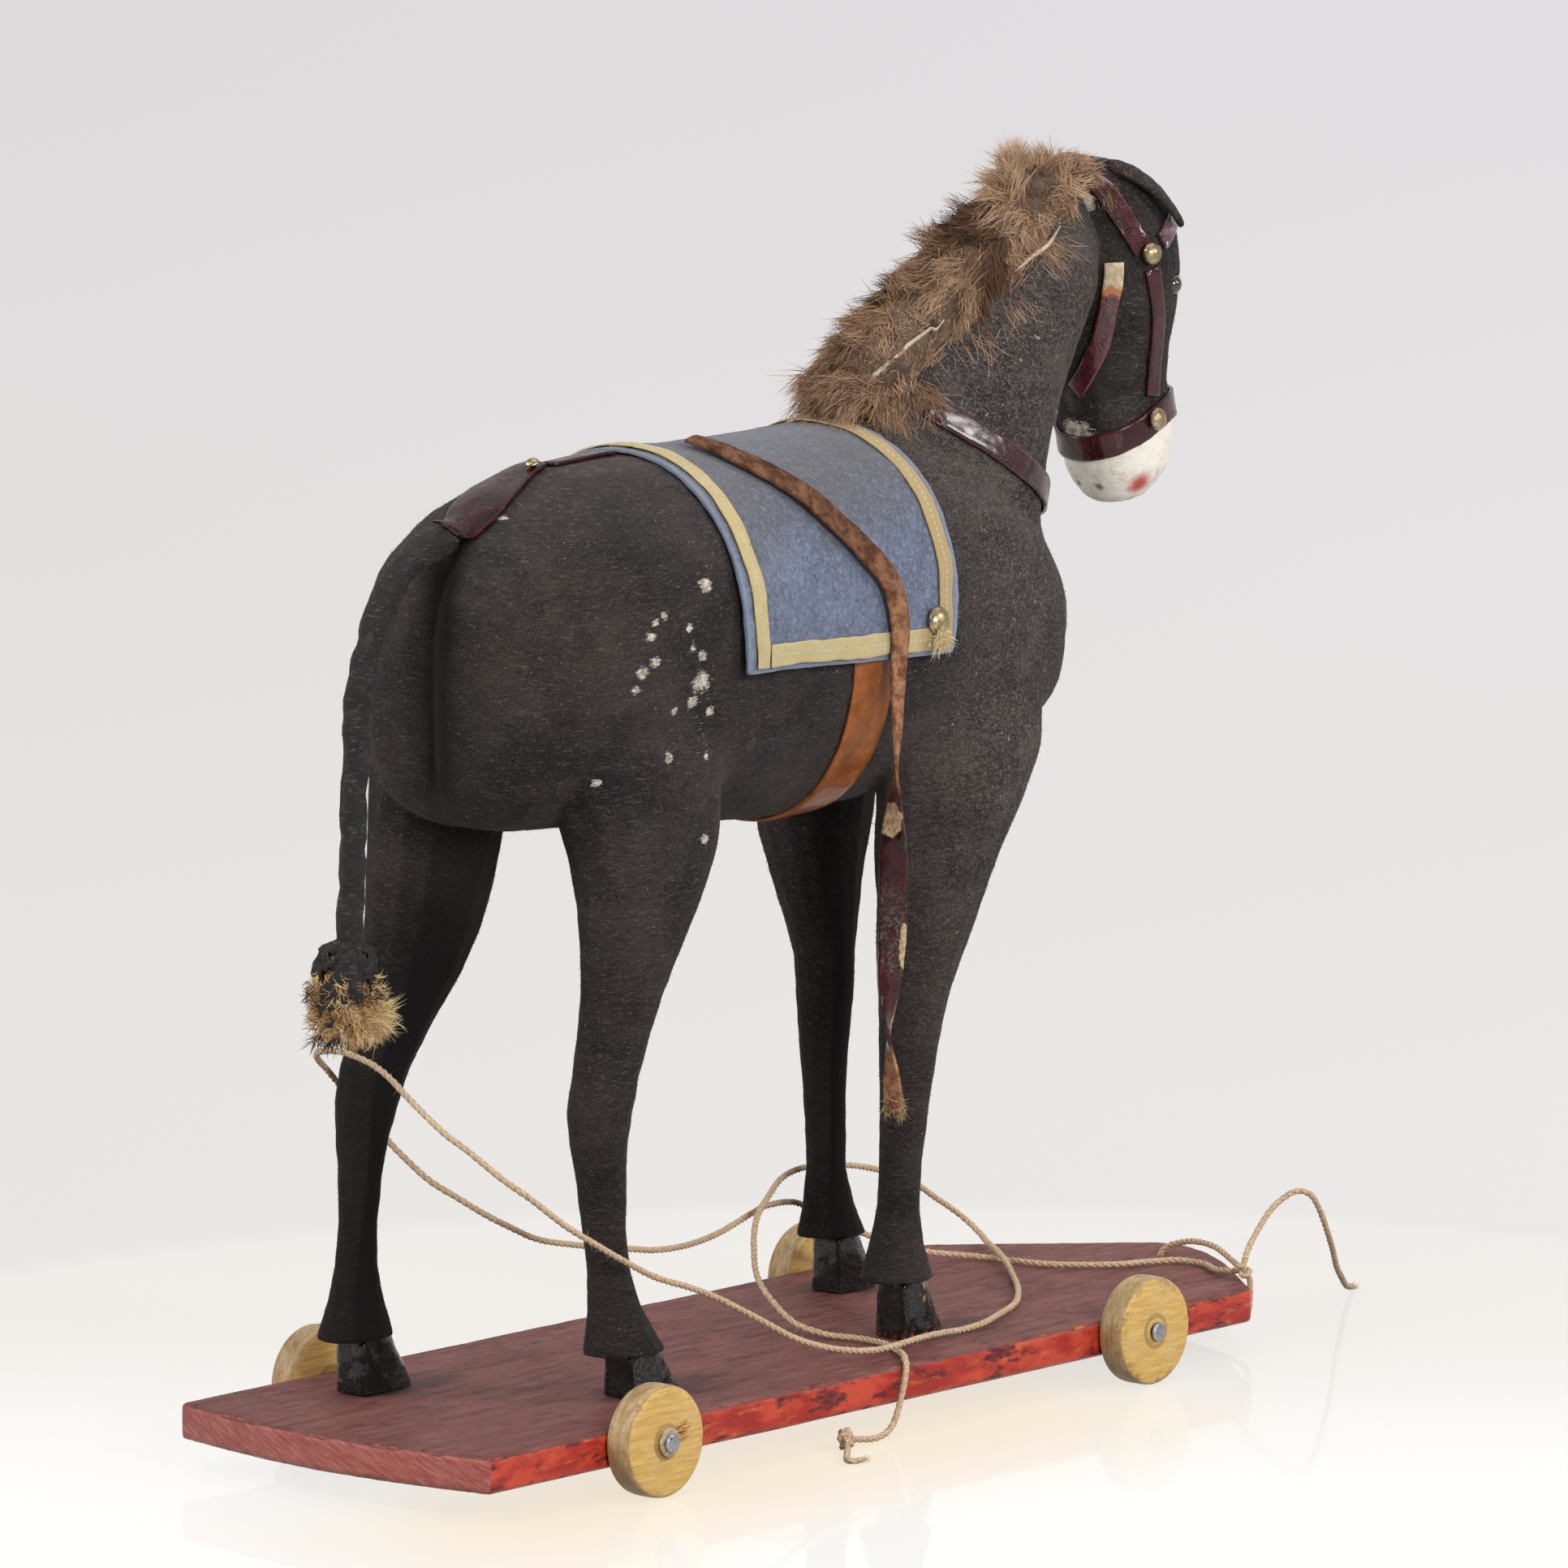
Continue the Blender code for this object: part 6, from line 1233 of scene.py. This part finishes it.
def build_tail():
    look = tail_look()
    dressed("stuffed_tail", "tail", look, 2, 0.2,
            ((0.011, 0.0011, 3), (0.004, 0.0004, 3), (0.0015, 0.00012, 2)))
    low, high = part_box("tail_tuft")
    middle, span = (low + high) / 2, high - low

    def narrowed(made, share, base=0.0, stretch=1.0):
        """Draws a piece in towards the tuft's axis, by a share of its level."""
        points = points_of(made)
        level = (points[:, 2] - low.z) / span.z
        for k in (0, 1):
            points[:, k] = middle[k] + (points[:, k] - middle[k]) * share(level)
        points[:, 2] = low.z + span.z * (base + level * stretch)
        set_points(made, points)

    def neck(level):
        return 1 - 0.62 * step01(level, 0.84, 0.99) - 0.24 * step01(level, 0.3, 0.62)

    def kept(p):
        height = (p.z - low.z) / span.z
        a = math.atan2(p.y - middle.y, p.x - middle.x)
        tongue = 0.1 * math.sin(3 * a + 0.7) + 0.07 * math.sin(7 * a) + 0.12 * noise.noise(
                Vector(p) * 260)
        if height < 0.5 + tongue:
            return False
        return not (height < 0.86 and noise.noise(Vector(p) * 150 + Vector((3.1, 0, 0))) > 0.3)

    def level_at(share):
        return Vector((middle.x, middle.y, low.z + span.z * share))
    core = dressed("jute_core", "tail_tuft", tuft_look(), 2, 0.2,
                   ((0.006, 0.0018, 3), (0.002, 0.0006, 2)))
    narrowed(core, lambda level: 0.84 - 0.22 * np.clip(0.35 - level, 0, 1), 0.22, 0.75)
    cap = dressed("torn_tail_cap", "tail_tuft", look, 3, 0.2,
                  ((0.0055, 0.0025, 3), (0.0022, 0.0013, 3), (0.001, 0.0004, 2)))
    narrowed(cap, neck)
    narrowed(core, lambda level: 0.97 * neck(level))
    ragged(cap, kept, 0.7 * MM)
    roots, dark = [], []
    for _ in range(150):
        a, level = rng.uniform(0, 2 * math.pi), rng.uniform(0.24, 0.64)
        out = Vector((math.cos(a), math.sin(a), 0))
        wide = 0.76 - 0.5 * max(0.0, 0.35 - level) - 0.3 * max(0.0, level - 0.35)
        p = level_at(level) + Vector((out.x * span.x, out.y * span.y, 0)) * 0.5 * wide
        flow = (out * rng.uniform(-0.1, 0.35) + scatter((0.7, 0.7, 0.6), (0, 0, -0.55))).normalized()
        lock(roots, p, out, flow, rng.uniform(3.5, 6) * MM, 22, 1.3 * MM, rng.random(), 0.25, 0.1)
    for _ in range(18):
        p = level_at(rng.uniform(0.28, 0.44)) + RIGHT * rng.uniform(3, 9) * MM + BACK * rng.uniform(
                1, 7) * MM
        flow = (RIGHT + scatter((0.14, 0.14, 0.22), (0, 0, -0.12))).normalized()
        lock(roots, p, BACK.copy(), flow, rng.uniform(6, 11) * MM, 24, 1.1 * MM, 0.4 + 0.6 * rng.random(),
             0.5, 0.0)
    for _ in range(22):
        p = level_at(rng.uniform(0.2, 0.3)) + RIGHT * rng.uniform(-3, 7) * MM + BACK * rng.uniform(
                2, 8) * MM
        flow = (Vector((rng.gauss(0, 0.3), rng.gauss(0, 0.3), -1.0)) + RIGHT
                * rng.uniform(-0.3, 0.5)).normalized()
        lock(roots, p, BACK.copy(), flow, rng.uniform(3.5, 6) * MM, 20, 1.4 * MM,
             0.3 + 0.6 * rng.random(), 0.3, 0.0)
    for _ in range(10):
        p = level_at(0.2) - RIGHT * rng.uniform(1, 9) * MM + BACK * 5 * MM
        for _ in range(16):
            dark.append((p, Vector((rng.gauss(0, 0.6), rng.gauss(0, 0.6), -0.9)), rng.uniform(5, 9) * MM,
                         rng.random() * 0.3))
    fibre = strand_look("tuft_fibre", (0.3, 0.125, 0.04), (0.95, 0.64, 0.28), (1.0, 0.88, 0.56), 0.85,
                        0.05)
    ride(strands("frayed_tuft", roots, fibre, 0.32 * MM, 6, 0.1, 1.3))
    black = strand_look("tuft_thread", (0.012, 0.012, 0.013), (0.06, 0.055, 0.05), (0.05, 0.045, 0.04),
                        0.8, 0.1)
    for _ in range(240):
        a = rng.uniform(0, 2 * math.pi)
        out = Vector((math.cos(a), math.sin(a), 0))
        p = level_at(rng.uniform(0.45, 0.62)) + Vector((out.x * span.x, out.y * span.y, 0)) * 0.44
        flow = out * 0.5 + Vector((rng.gauss(0, 0.5), rng.gauss(0, 0.5), -0.8))
        dark.append((p, flow, rng.uniform(2, 4.5) * MM, rng.random() * 0.4))
    ride(strands("torn_threads", dark, black, 0.3 * MM, 4, 0.1, 1.2))


def build_cloth():
    cloth = dressed("felt_saddle_cloth", "saddle_cloth", felt_look(), 2, 0.75,
                    ((0.022, 0.0005, 2), (0.004, 0.00022, 3), (0.0012, 0.00012, 2)), edge=2.0 * MM)
    gold = ribbon_look()
    for part in ("rear", "front", "right", "left"):
        strip = dressed("woven_ribbon_" + part, "cloth_ribbon_" + part, gold, 2, 0.5,
                        ((0.009, 0.00025, 2), (0.003, 0.0001, 2)))
        points = points_of(strip)
        lengthwise = part in SIDES
        ahead, aside = (0, 2) if lengthwise else (1, 0)
        sway = field(np.column_stack((points[:, ahead], points[:, 2], points[:, 1] * 0)), 0.012, 2, 5.0)
        points[:, aside] += sway * 0.0007
        set_points(strip, points)
        arc = np.arctan2(points[:, 1], points[:, 2] - CLOTH_AXIS) * CLOTH_RADIUS
        along, across = (points[:, 0], arc) if lengthwise else (arc, points[:, 0])
        bins = np.round((along - along.min()) / 0.0015).astype(int)
        edge = np.zeros(len(points))
        for b in np.unique(bins):
            near = np.abs(bins - b) <= 1
            least, most = across[near].min(), across[near].max()
            here = bins == b
            edge[here] = (across[here] - (least + most) / 2) / max((most - least) / 2, 1e-06)
        for name, values in (("along", along), ("across", across), ("side", edge)):
            set_attribute(strip, name, values)
    frays = []
    for _ in range(240):
        p = Vector((0.0195 + rng.gauss(0, 1.8) * MM, -0.0548, 0.247 + rng.gauss(0, 1.5) * MM))
        frays.append((p, scatter((0.7, 0.25, 0.7), (0.2, -0.25, -0.35)), rng.uniform(2.0, 5.0) * MM,
                      rng.random()))
    threads = strand_look("ribbon_thread", (0.5, 0.38, 0.16), (0.88, 0.74, 0.42), (0.92, 0.8, 0.5), 0.7)
    ride(strands("ribbon_frayed_end", frays, threads, 0.3 * MM, 5, 0.2, 1.2))


# Leathers: dark, light and bare colour, roughness, cracks, coat and where it is bare.
LACQUERED = {"maroon_leather": ((0.026, 0.003, 0.005), (0.068, 0.007, 0.01), (0.24, 0.08, 0.04), 0.26,
                                0.7, 0.45, 0.71),
             "cracked_lacquer": ((0.022, 0.003, 0.006), (0.06, 0.012, 0.02), (0.16, 0.07, 0.06), 0.16,
                                 0.9, 0.55, 0.7),
             "dark_lacquer": ((0.014, 0.0012, 0.0022), (0.05, 0.0035, 0.006), (0.2, 0.1, 0.07), 0.2, 1.0,
                              0.16, 0.72),
             # Brow band: its pale purple-white bare colour is a painted sheen.
             "brow_lacquer_painted_sheen": ((0.05, 0.012, 0.024), (0.16, 0.07, 0.1), (0.62, 0.56, 0.6), 0.15, 1.0, 1.0,
                              0.58),
             "orange_leather": ((0.255, 0.068, 0.014), (0.38, 0.125, 0.03), (0.12, 0.035, 0.012), 0.44,
                                0.4, 0.2, 0.68)}
STRAPS = (("cracked_lacquer", "collar_strap"), ("maroon_leather", "noseband"),
          ("maroon_leather", "cheek_strap_right"), ("maroon_leather", "cheek_strap_left"),
          ("maroon_leather", "headstall"), ("brow_lacquer_painted_sheen", "brow_band"),
          ("dark_lacquer", "crupper_patch"), ("dark_lacquer", "crupper_strap"),
          ("orange_leather", "girth_strap"))
# Marks on the loose strap: strength and blobs, each with place, radius and stretch in mm.
STRAP_MARKS = (
        ("bare", 1.5,
         (((-1.2, -51, 192), 2.7, (0.9, 1.5, 1.8)), ((1.5, -51.5, 126), 2.6, (0.8, 1.5, 1.6)),
          ((2.2, -54, 152), 1.9, (0.7, 1.2, 3.6)), ((0.8, -52, 119), 1.8, (0.7, 1.5, 1.2)))),
        ("crazed", 1.6, (((-1, -51, 160), 6.5, (0.7, 1, 1.3)), ((1, -52, 147), 4, (0.9, 1, 1.2)))))
STUDS = ("cloth_stud_right", "cloth_stud_left", "brow_stud_right", "brow_stud_left", "nose_stud_right",
         "nose_stud_left", "crupper_stud")


def build_harness():
    looks = {name: leather_look(name, *values) for name, values in LACQUERED.items()}
    fine = ((0.008, 0.00022, 3), (0.002, 0.0001, 2))
    for name, node in STRAPS:
        dressed("worn_" + node, node, looks[name], 2, 0.55, fine)
    dressed("worn_throat_strap", "throat_strap", throat_look(), 2, 0.55, fine)
    strap = dressed("worn_loose_strap", "loose_strap", loose_strap_look(), 2, 0.6,
                    ((0.01, 0.0003, 3), (0.002, 0.00012, 2)))
    points, normals = points_of(strap), normals_of(strap)
    seen = step01(normals @ np.array(BACK), -0.12, 0.12)
    turned = step01(points[:, 2], 0.117, 0.121) * step01(-points[:, 2], -0.207, -0.199)
    set_attribute(strap, "grain", seen * turned + (1 - seen) * (1 - turned))
    for name, most, blobs in STRAP_MARKS:
        set_attribute(strap, name, np.minimum(1.0, blobs_at(points, *blobs) * most))
    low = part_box("loose_strap")[0]
    ends = []
    for _ in range(170):
        p = Vector((rng.uniform(-3.0, 4.0) * MM, -52.5 * MM, low.z + abs(rng.gauss(0, 2.6)) * MM))
        root = Vector(min(points, key=lambda q: (q[0] - p.x) ** 2 + (q[2] - p.z) ** 2))
        ends.append((root, scatter((0.6, 0.3, 0.4), (0, -0.2, -0.6)), rng.uniform(1.5, 4.5) * MM,
                     rng.random()))
    fibre = strand_look("leather_fibre", (0.24, 0.12, 0.06), (0.62, 0.46, 0.24), (0.78, 0.64, 0.4), 0.8)
    ride(strands("strap_end_fibres", ends, fibre, 0.28 * MM, 4, 0.2, 1.0))
    brass = brass_look()
    for node in STUDS:
        dressed("domed_" + node, node, brass, 2, 0.35, ((0.0018, 8e-05, 2),))
    glass = Look("dark_glass", (0.012, 0.008, 0.006), 0.04)
    cloudy = glass.ramp(glass.noise(300.0), 0.4, 0.6)
    glass.set(Base_Color=glass.mix(cloudy, (0.006, 0.004, 0.004), (0.03, 0.016, 0.008)), Coat_Weight=1.0,
              Coat_Roughness=0.02)
    glass.bumps((glass.noise(90.0), 0.05, 0.0002))
    for side in SIDES:
        dressed("glass_eye_" + side, "eye_" + side, glass.material, 2, 0.0)


# Bare wood on the plank's nose and on the right front hoof.
BARE_PLANK = (((206, -12, 17), 2.2, (1, 1.6, 0.8)), ((203, -20, 11), 1.6, (1, 1.5, 0.7)),
              ((206, -5, 20), 1.5, (1, 2, 0.6)))
BARE_HOOF = (((31, -39.5, 38.5), 1.9, (0.8, 1, 1.4)), ((30.5, -39.5, 34), 1.5, (0.8, 1, 1.3)))


def build_board():
    board = remeshed("painted_plank", (0.8) * MM, 2, "base_board")
    points, normals = points_of(board), normals_of(board)
    grain = field(points * np.array((0.12, 1, 1)), 0.0035, 3) * 0.0001
    edge = np.clip((0.985 - np.abs(normals).max(axis=1)) * 8, 0, 1)
    chip = np.clip(field(points, 0.009, 3, 6.0) - 0.1, 0, 1) * edge
    set_points(board, points + normals * (grain - chip * 0.0016 - edge * 0.0002)[:, None])
    points = points_of(board)
    set_attribute(board, "bare", blobs_at(points, *BARE_PLANK))
    hooves = [sum(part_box("hoof_" + key), Vector()) / (2 * MM) for key in CORNERS]
    # Darker round each hoof on the plank's top.
    set_attribute(board, "dark_round_hooves",
                  blobs_at(points, *[((c.x + 10, c.y, 21.5), 17, (2.0, 1, 1)) for c in hooves]) * 0.75)
    painted(board, board_look())
    ride(board, "base_board")
    steel = steel_look()
    for key in CORNERS:
        build_wheel(key, sum(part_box("wheel_" + key), Vector()) / 2, steel)
    hoof = hoof_look()
    for key in CORNERS:
        made = dressed("enamel_hoof_" + key, "hoof_" + key, hoof, 3, 0.5,
                       ((0.01, 0.0004, 2), (0.003, 0.00018, 3)))
        set_attribute(made, "bare", blobs_at(points_of(made), *BARE_HOOF) * (key == "front_right"))
        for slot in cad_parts["leg_screw_" + key].material_slots:
            slot.material = steel


def wheel_profile():
    """Radius and place along the axle, in mm, once round the section of a turned wheel."""
    half, bore = 5.0, 2.05
    inner = [(bore, 0.5), (bore + 0.4, 0.0), (9.0, 0.0), (14.0, 0.0), (16.2, 0.1), (17.1, 0.6),
             (17.45, 1.5)]
    outer = [(17.45, 1.5), (17.1, 0.6), (16.2, 0.1), (12.0, 0.0), (6.0, 0.1), (5.2, 0.35), (4.6, 0.1),
             (bore + 0.5, 0.0), (bore, 0.4)]
    return [(r, d - half) for r, d in inner] + [(17.5, 0.0)] + [(r, half - d) for r, d in outer]


def build_wheel(key, hub, steel):
    look = wheel_look(key, hub)
    outward = 1 if key.endswith("left") else -1
    profile, count = wheel_profile(), 96
    verts = []
    for r, along in profile:
        for i in range(count):
            a = 2 * math.pi * i / count
            dent = noise.noise(Vector((math.cos(a) * 3, along * 0.2, math.sin(a) * 3 + len(key))))
            worn = 1 - 0.004 * max(0.0, dent) * (r > 16)
            verts.append(hub + Vector((math.cos(a) * r * worn, outward * along, math.sin(a) * r * worn))
                         * MM)
    wheel = fix_normals(mesh_object("turned_wheel_" + key, verts, tube(count, len(profile), True), look))
    bake(wheel, ("SUBSURF", {"levels": 1, "render_levels": 1}))
    ride(wheel, "wheel_" + key, body="wheel_" + key)
    dressed("nail_" + key, "axle_nail_" + key, steel, 1, 0.4, ((0.002, 8e-05, 2),))
    if key == "rear_right":
        pale = Look("pale_washer", (0.6, 0.5, 0.33), 0.6)
        worn = pale.ramp(pale.noise(700.0, 5.0, 0.7), 0.4, 0.65)
        pale.set(Base_Color=pale.mix(worn, (0.4, 0.3, 0.17), (0.66, 0.57, 0.42)))
        pale.bumps((pale.noise(900.0), 0.4, 0.0003))
        dressed("hub_ring_" + key, "hub_washer_" + key, pale.material, 2, 0.5, ((0.003, 0.0001, 2),),
                body="wheel_" + key)
        build_splinters(hub)


# The splinters: from and to beside the hub, width and height, in mm.
SPLINTERS = ((3.2, 2.6, 10.2, 4.6, 1.9, 2.2), (3.8, 1.0, 9.0, 2.6, 1.4, 1.5),
             (4.2, 4.2, 9.4, 6.0, 0.9, 1.2), (5.0, -0.4, 9.8, 0.8, 0.7, 0.8))


def build_splinters(hub):
    """The split in the rear right wheel's face beside its nail."""
    wood = Look("split_wood", (0.6, 0.4, 0.16), 0.7)
    split = wood.ramp(wood.noise(600.0, 6.0, 0.7, wood.where((0.5, 1, 3))), 0.4, 0.62)
    wood.set(Base_Color=wood.mix(split, (0.36, 0.15, 0.03), (0.8, 0.5, 0.15)))
    wood.bumps((wood.noise(900.0, 5.0, 0.7, wood.where((0.4, 1, 3))), 0.9, 0.0006))
    face = hub - Vector((0, 5.0 * MM, 0))
    for k, (x0, z0, x1, z1, width, height) in enumerate(SPLINTERS):
        rings = []
        for i in range(9):
            t = i / 8
            rise = height * (0.25 + 0.55 * math.sin(2.4 * t)) * 0.5
            centre = face + Vector(
                    (x0 + (x1 - x0) * t, -rise, z0 + (z1 - z0) * t + 0.15 * math.sin(5 * t + k))) * MM
            thick = max(0.06, math.sin(math.pi * min(0.97, t + 0.03)) ** 0.6) * 0.5 * MM
            rings.append(ring(centre, Vector((-0.25, 0, 0.97)), Vector((0, -1, 0)), width * thick,
                              height * thick))
        chip = fix_normals(mesh_object("splinter_%d" % k, *loft(rings), wood.material))
        bake(chip, ("SUBSURF", {"levels": 1, "render_levels": 1}))
        ride(chip, body="wheel_rear_right")


def area_light(name, place, target, size, power, colour=(1, 1, 1), size_y=None):
    data = bpy.data.lights.new(name, "AREA")
    data.energy = power
    data.color = colour
    data.shape = "RECTANGLE"
    data.size = size
    data.size_y = size_y or size
    made = bpy.data.objects.new(name, data)
    made.location = place
    made.rotation_euler = (Vector(target) - place).to_track_quat("-Z", "Y").to_euler()
    bpy.context.scene.collection.objects.link(made)
    return made


def build_stage():
    table_look, wall_look = stage_looks()
    ahead = Vector((-BACK.x, -BACK.y, 0)).normalized()
    build_table(table_look, ahead)
    build_sweep(wall_look, ahead)
    world = bpy.data.worlds.new("studio")
    bpy.context.scene.world = world
    world.use_nodes = True
    world.node_tree.nodes["Background"].inputs["Color"].default_value = (1, 1, 1, 1)
    world.node_tree.nodes["Background"].inputs["Strength"].default_value = 0.34
    lights = (("top_light", Vector((0.15, -0.15, 1.9)), 0.1, 1.6, 9.0, (1.0, 0.99, 0.98)),
              ("front_light", BACK * 2.6 + RIGHT * 1.3 + Vector((0, 0, 0.7)), 0.2, 1.0, 42.0,
               (1.0, 0.985, 0.965)),
              ("left_light", -RIGHT * 2.0 + BACK * 0.5 + Vector((0, 0, 1.0)), 0.2, 0.9, 17.0,
               (1.0, 0.985, 0.97)),
              ("window_light", -RIGHT * 1.1 + BACK * 1.3 + Vector((0, 0, 1.5)), 0.25, 0.28, 7.0,
               (1.0, 1.0, 1.0)))
    for name, place, target, size, power, colour in lights:
        area_light(name, place, (0, 0, target), size, power, colour)
    collar = Vector((0.105, -0.045, 0.262))
    away = (RIGHT * 0.88 + BACK * 0.31 + Vector((0, 0, 0.38))).normalized()
    along = RIGHT * 0.455 - BACK * 0.63 - Vector((0, 0, 0.63))
    along = (along - away * along.dot(away)).normalized()
    strip = area_light("strap_light", collar + away * 1.1, collar, 0.6, 4.5, size_y=0.07)
    turn = Matrix((along, away.cross(along), away)).transposed().to_4x4()
    strip.matrix_world = Matrix.Translation(collar + away * 1.1) @ turn
    bpy.context.scene.view_settings.view_transform = "Standard"


def build_table(look, ahead):
    """A round table: its painted light runs from white in front to grey with depth, fades at the rim, and
    a painted warm glow lies beside the plank.
    """
    centre = ahead * -0.114 + RIGHT * 0.052
    verts, faces, depth, fade, plank_glow = [], [], [], [], []
    count = 160
    rings = [(0.012 * k, 0.0) for k in range(38)] + [
            (0.46, 0.0), (0.468, 0.0), (0.47, -0.001), (0.47, -0.03)]
    for radius, height in rings:
        for i in range(count):
            a = 2 * math.pi * i / count
            p = centre + (ahead * math.cos(a) + RIGHT * math.sin(a)) * radius
            p.z = height
            verts.append(p)
            depth.append(p.dot(ahead))
            fade.append(0.0 if radius < 0.455 else 1.0)
            # A painted warm glow on the table beside the plank's right side.
            gap = math.hypot(p.x - min(0.03, max(-0.2, p.x)), p.y + 0.075)
            plank_glow.append(min(1.0, max(0.0, 1.15 - gap / 0.085)) ** 1.4)
    for a in range(0, (len(rings) - 1) * count, count):
        faces.extend((a + i, a + i + count, a + count + (i + 1) % count, a + (i + 1) % count)
                     for i in range(count))
    table = mesh_object("round_table", verts, faces, look)
    for name, values in (("depth", depth), ("fade", fade), ("plank_glow", plank_glow)):
        set_attribute(table, name, values)


def build_sweep(look, ahead):
    """The paper behind the table; its shade follows the place in the picture."""
    path = [(-3.0, -0.06), (-1.5, -0.06), (0.0, -0.06), (0.9, -0.06)]
    for i in range(1, 13):
        a = math.pi / 2 * i / 12
        path.append((0.9 + 0.7 * math.sin(a), -0.06 + 0.7 * (1 - math.cos(a))))
    path += [(1.6, 1.2), (1.6, 2.2), (1.6, 3.4)]
    columns = 9
    verts, faces, across, height = [], [], [], []
    for far, high in path:
        for c in range(columns):
            p = ahead * far + RIGHT * (c - 4) * 1.0 + Vector((0, 0, high))
            verts.append(p)
            scale = PIXEL_METRES / max(0.2, CAMERA_BACK * MM - p.dot(BACK))
            u = PICTURE / 2 + scale * (p.dot(RIGHT) / MM - CAMERA_RIGHT)
            v = PICTURE / 2 - scale * (p.dot(UP) / MM - CAMERA_UP)
            across.append(min(1.0, max(0.0, u / PICTURE)))
            height.append(min(1.0, max(0.0, 1 - v / 1500)))
    for r in range(len(path) - 1):
        for a in range(r * columns, (r + 1) * columns - 1):
            faces.append((a, a + 1, a + columns + 1, a + columns))
    sweep = mesh_object("paper_sweep", verts, faces, look)
    set_attribute(sweep, "across", across)
    set_attribute(sweep, "height", height)


build_twine()
build_coat()
build_fur()
build_tail()
build_cloth()
build_harness()
build_board()
build_stage()
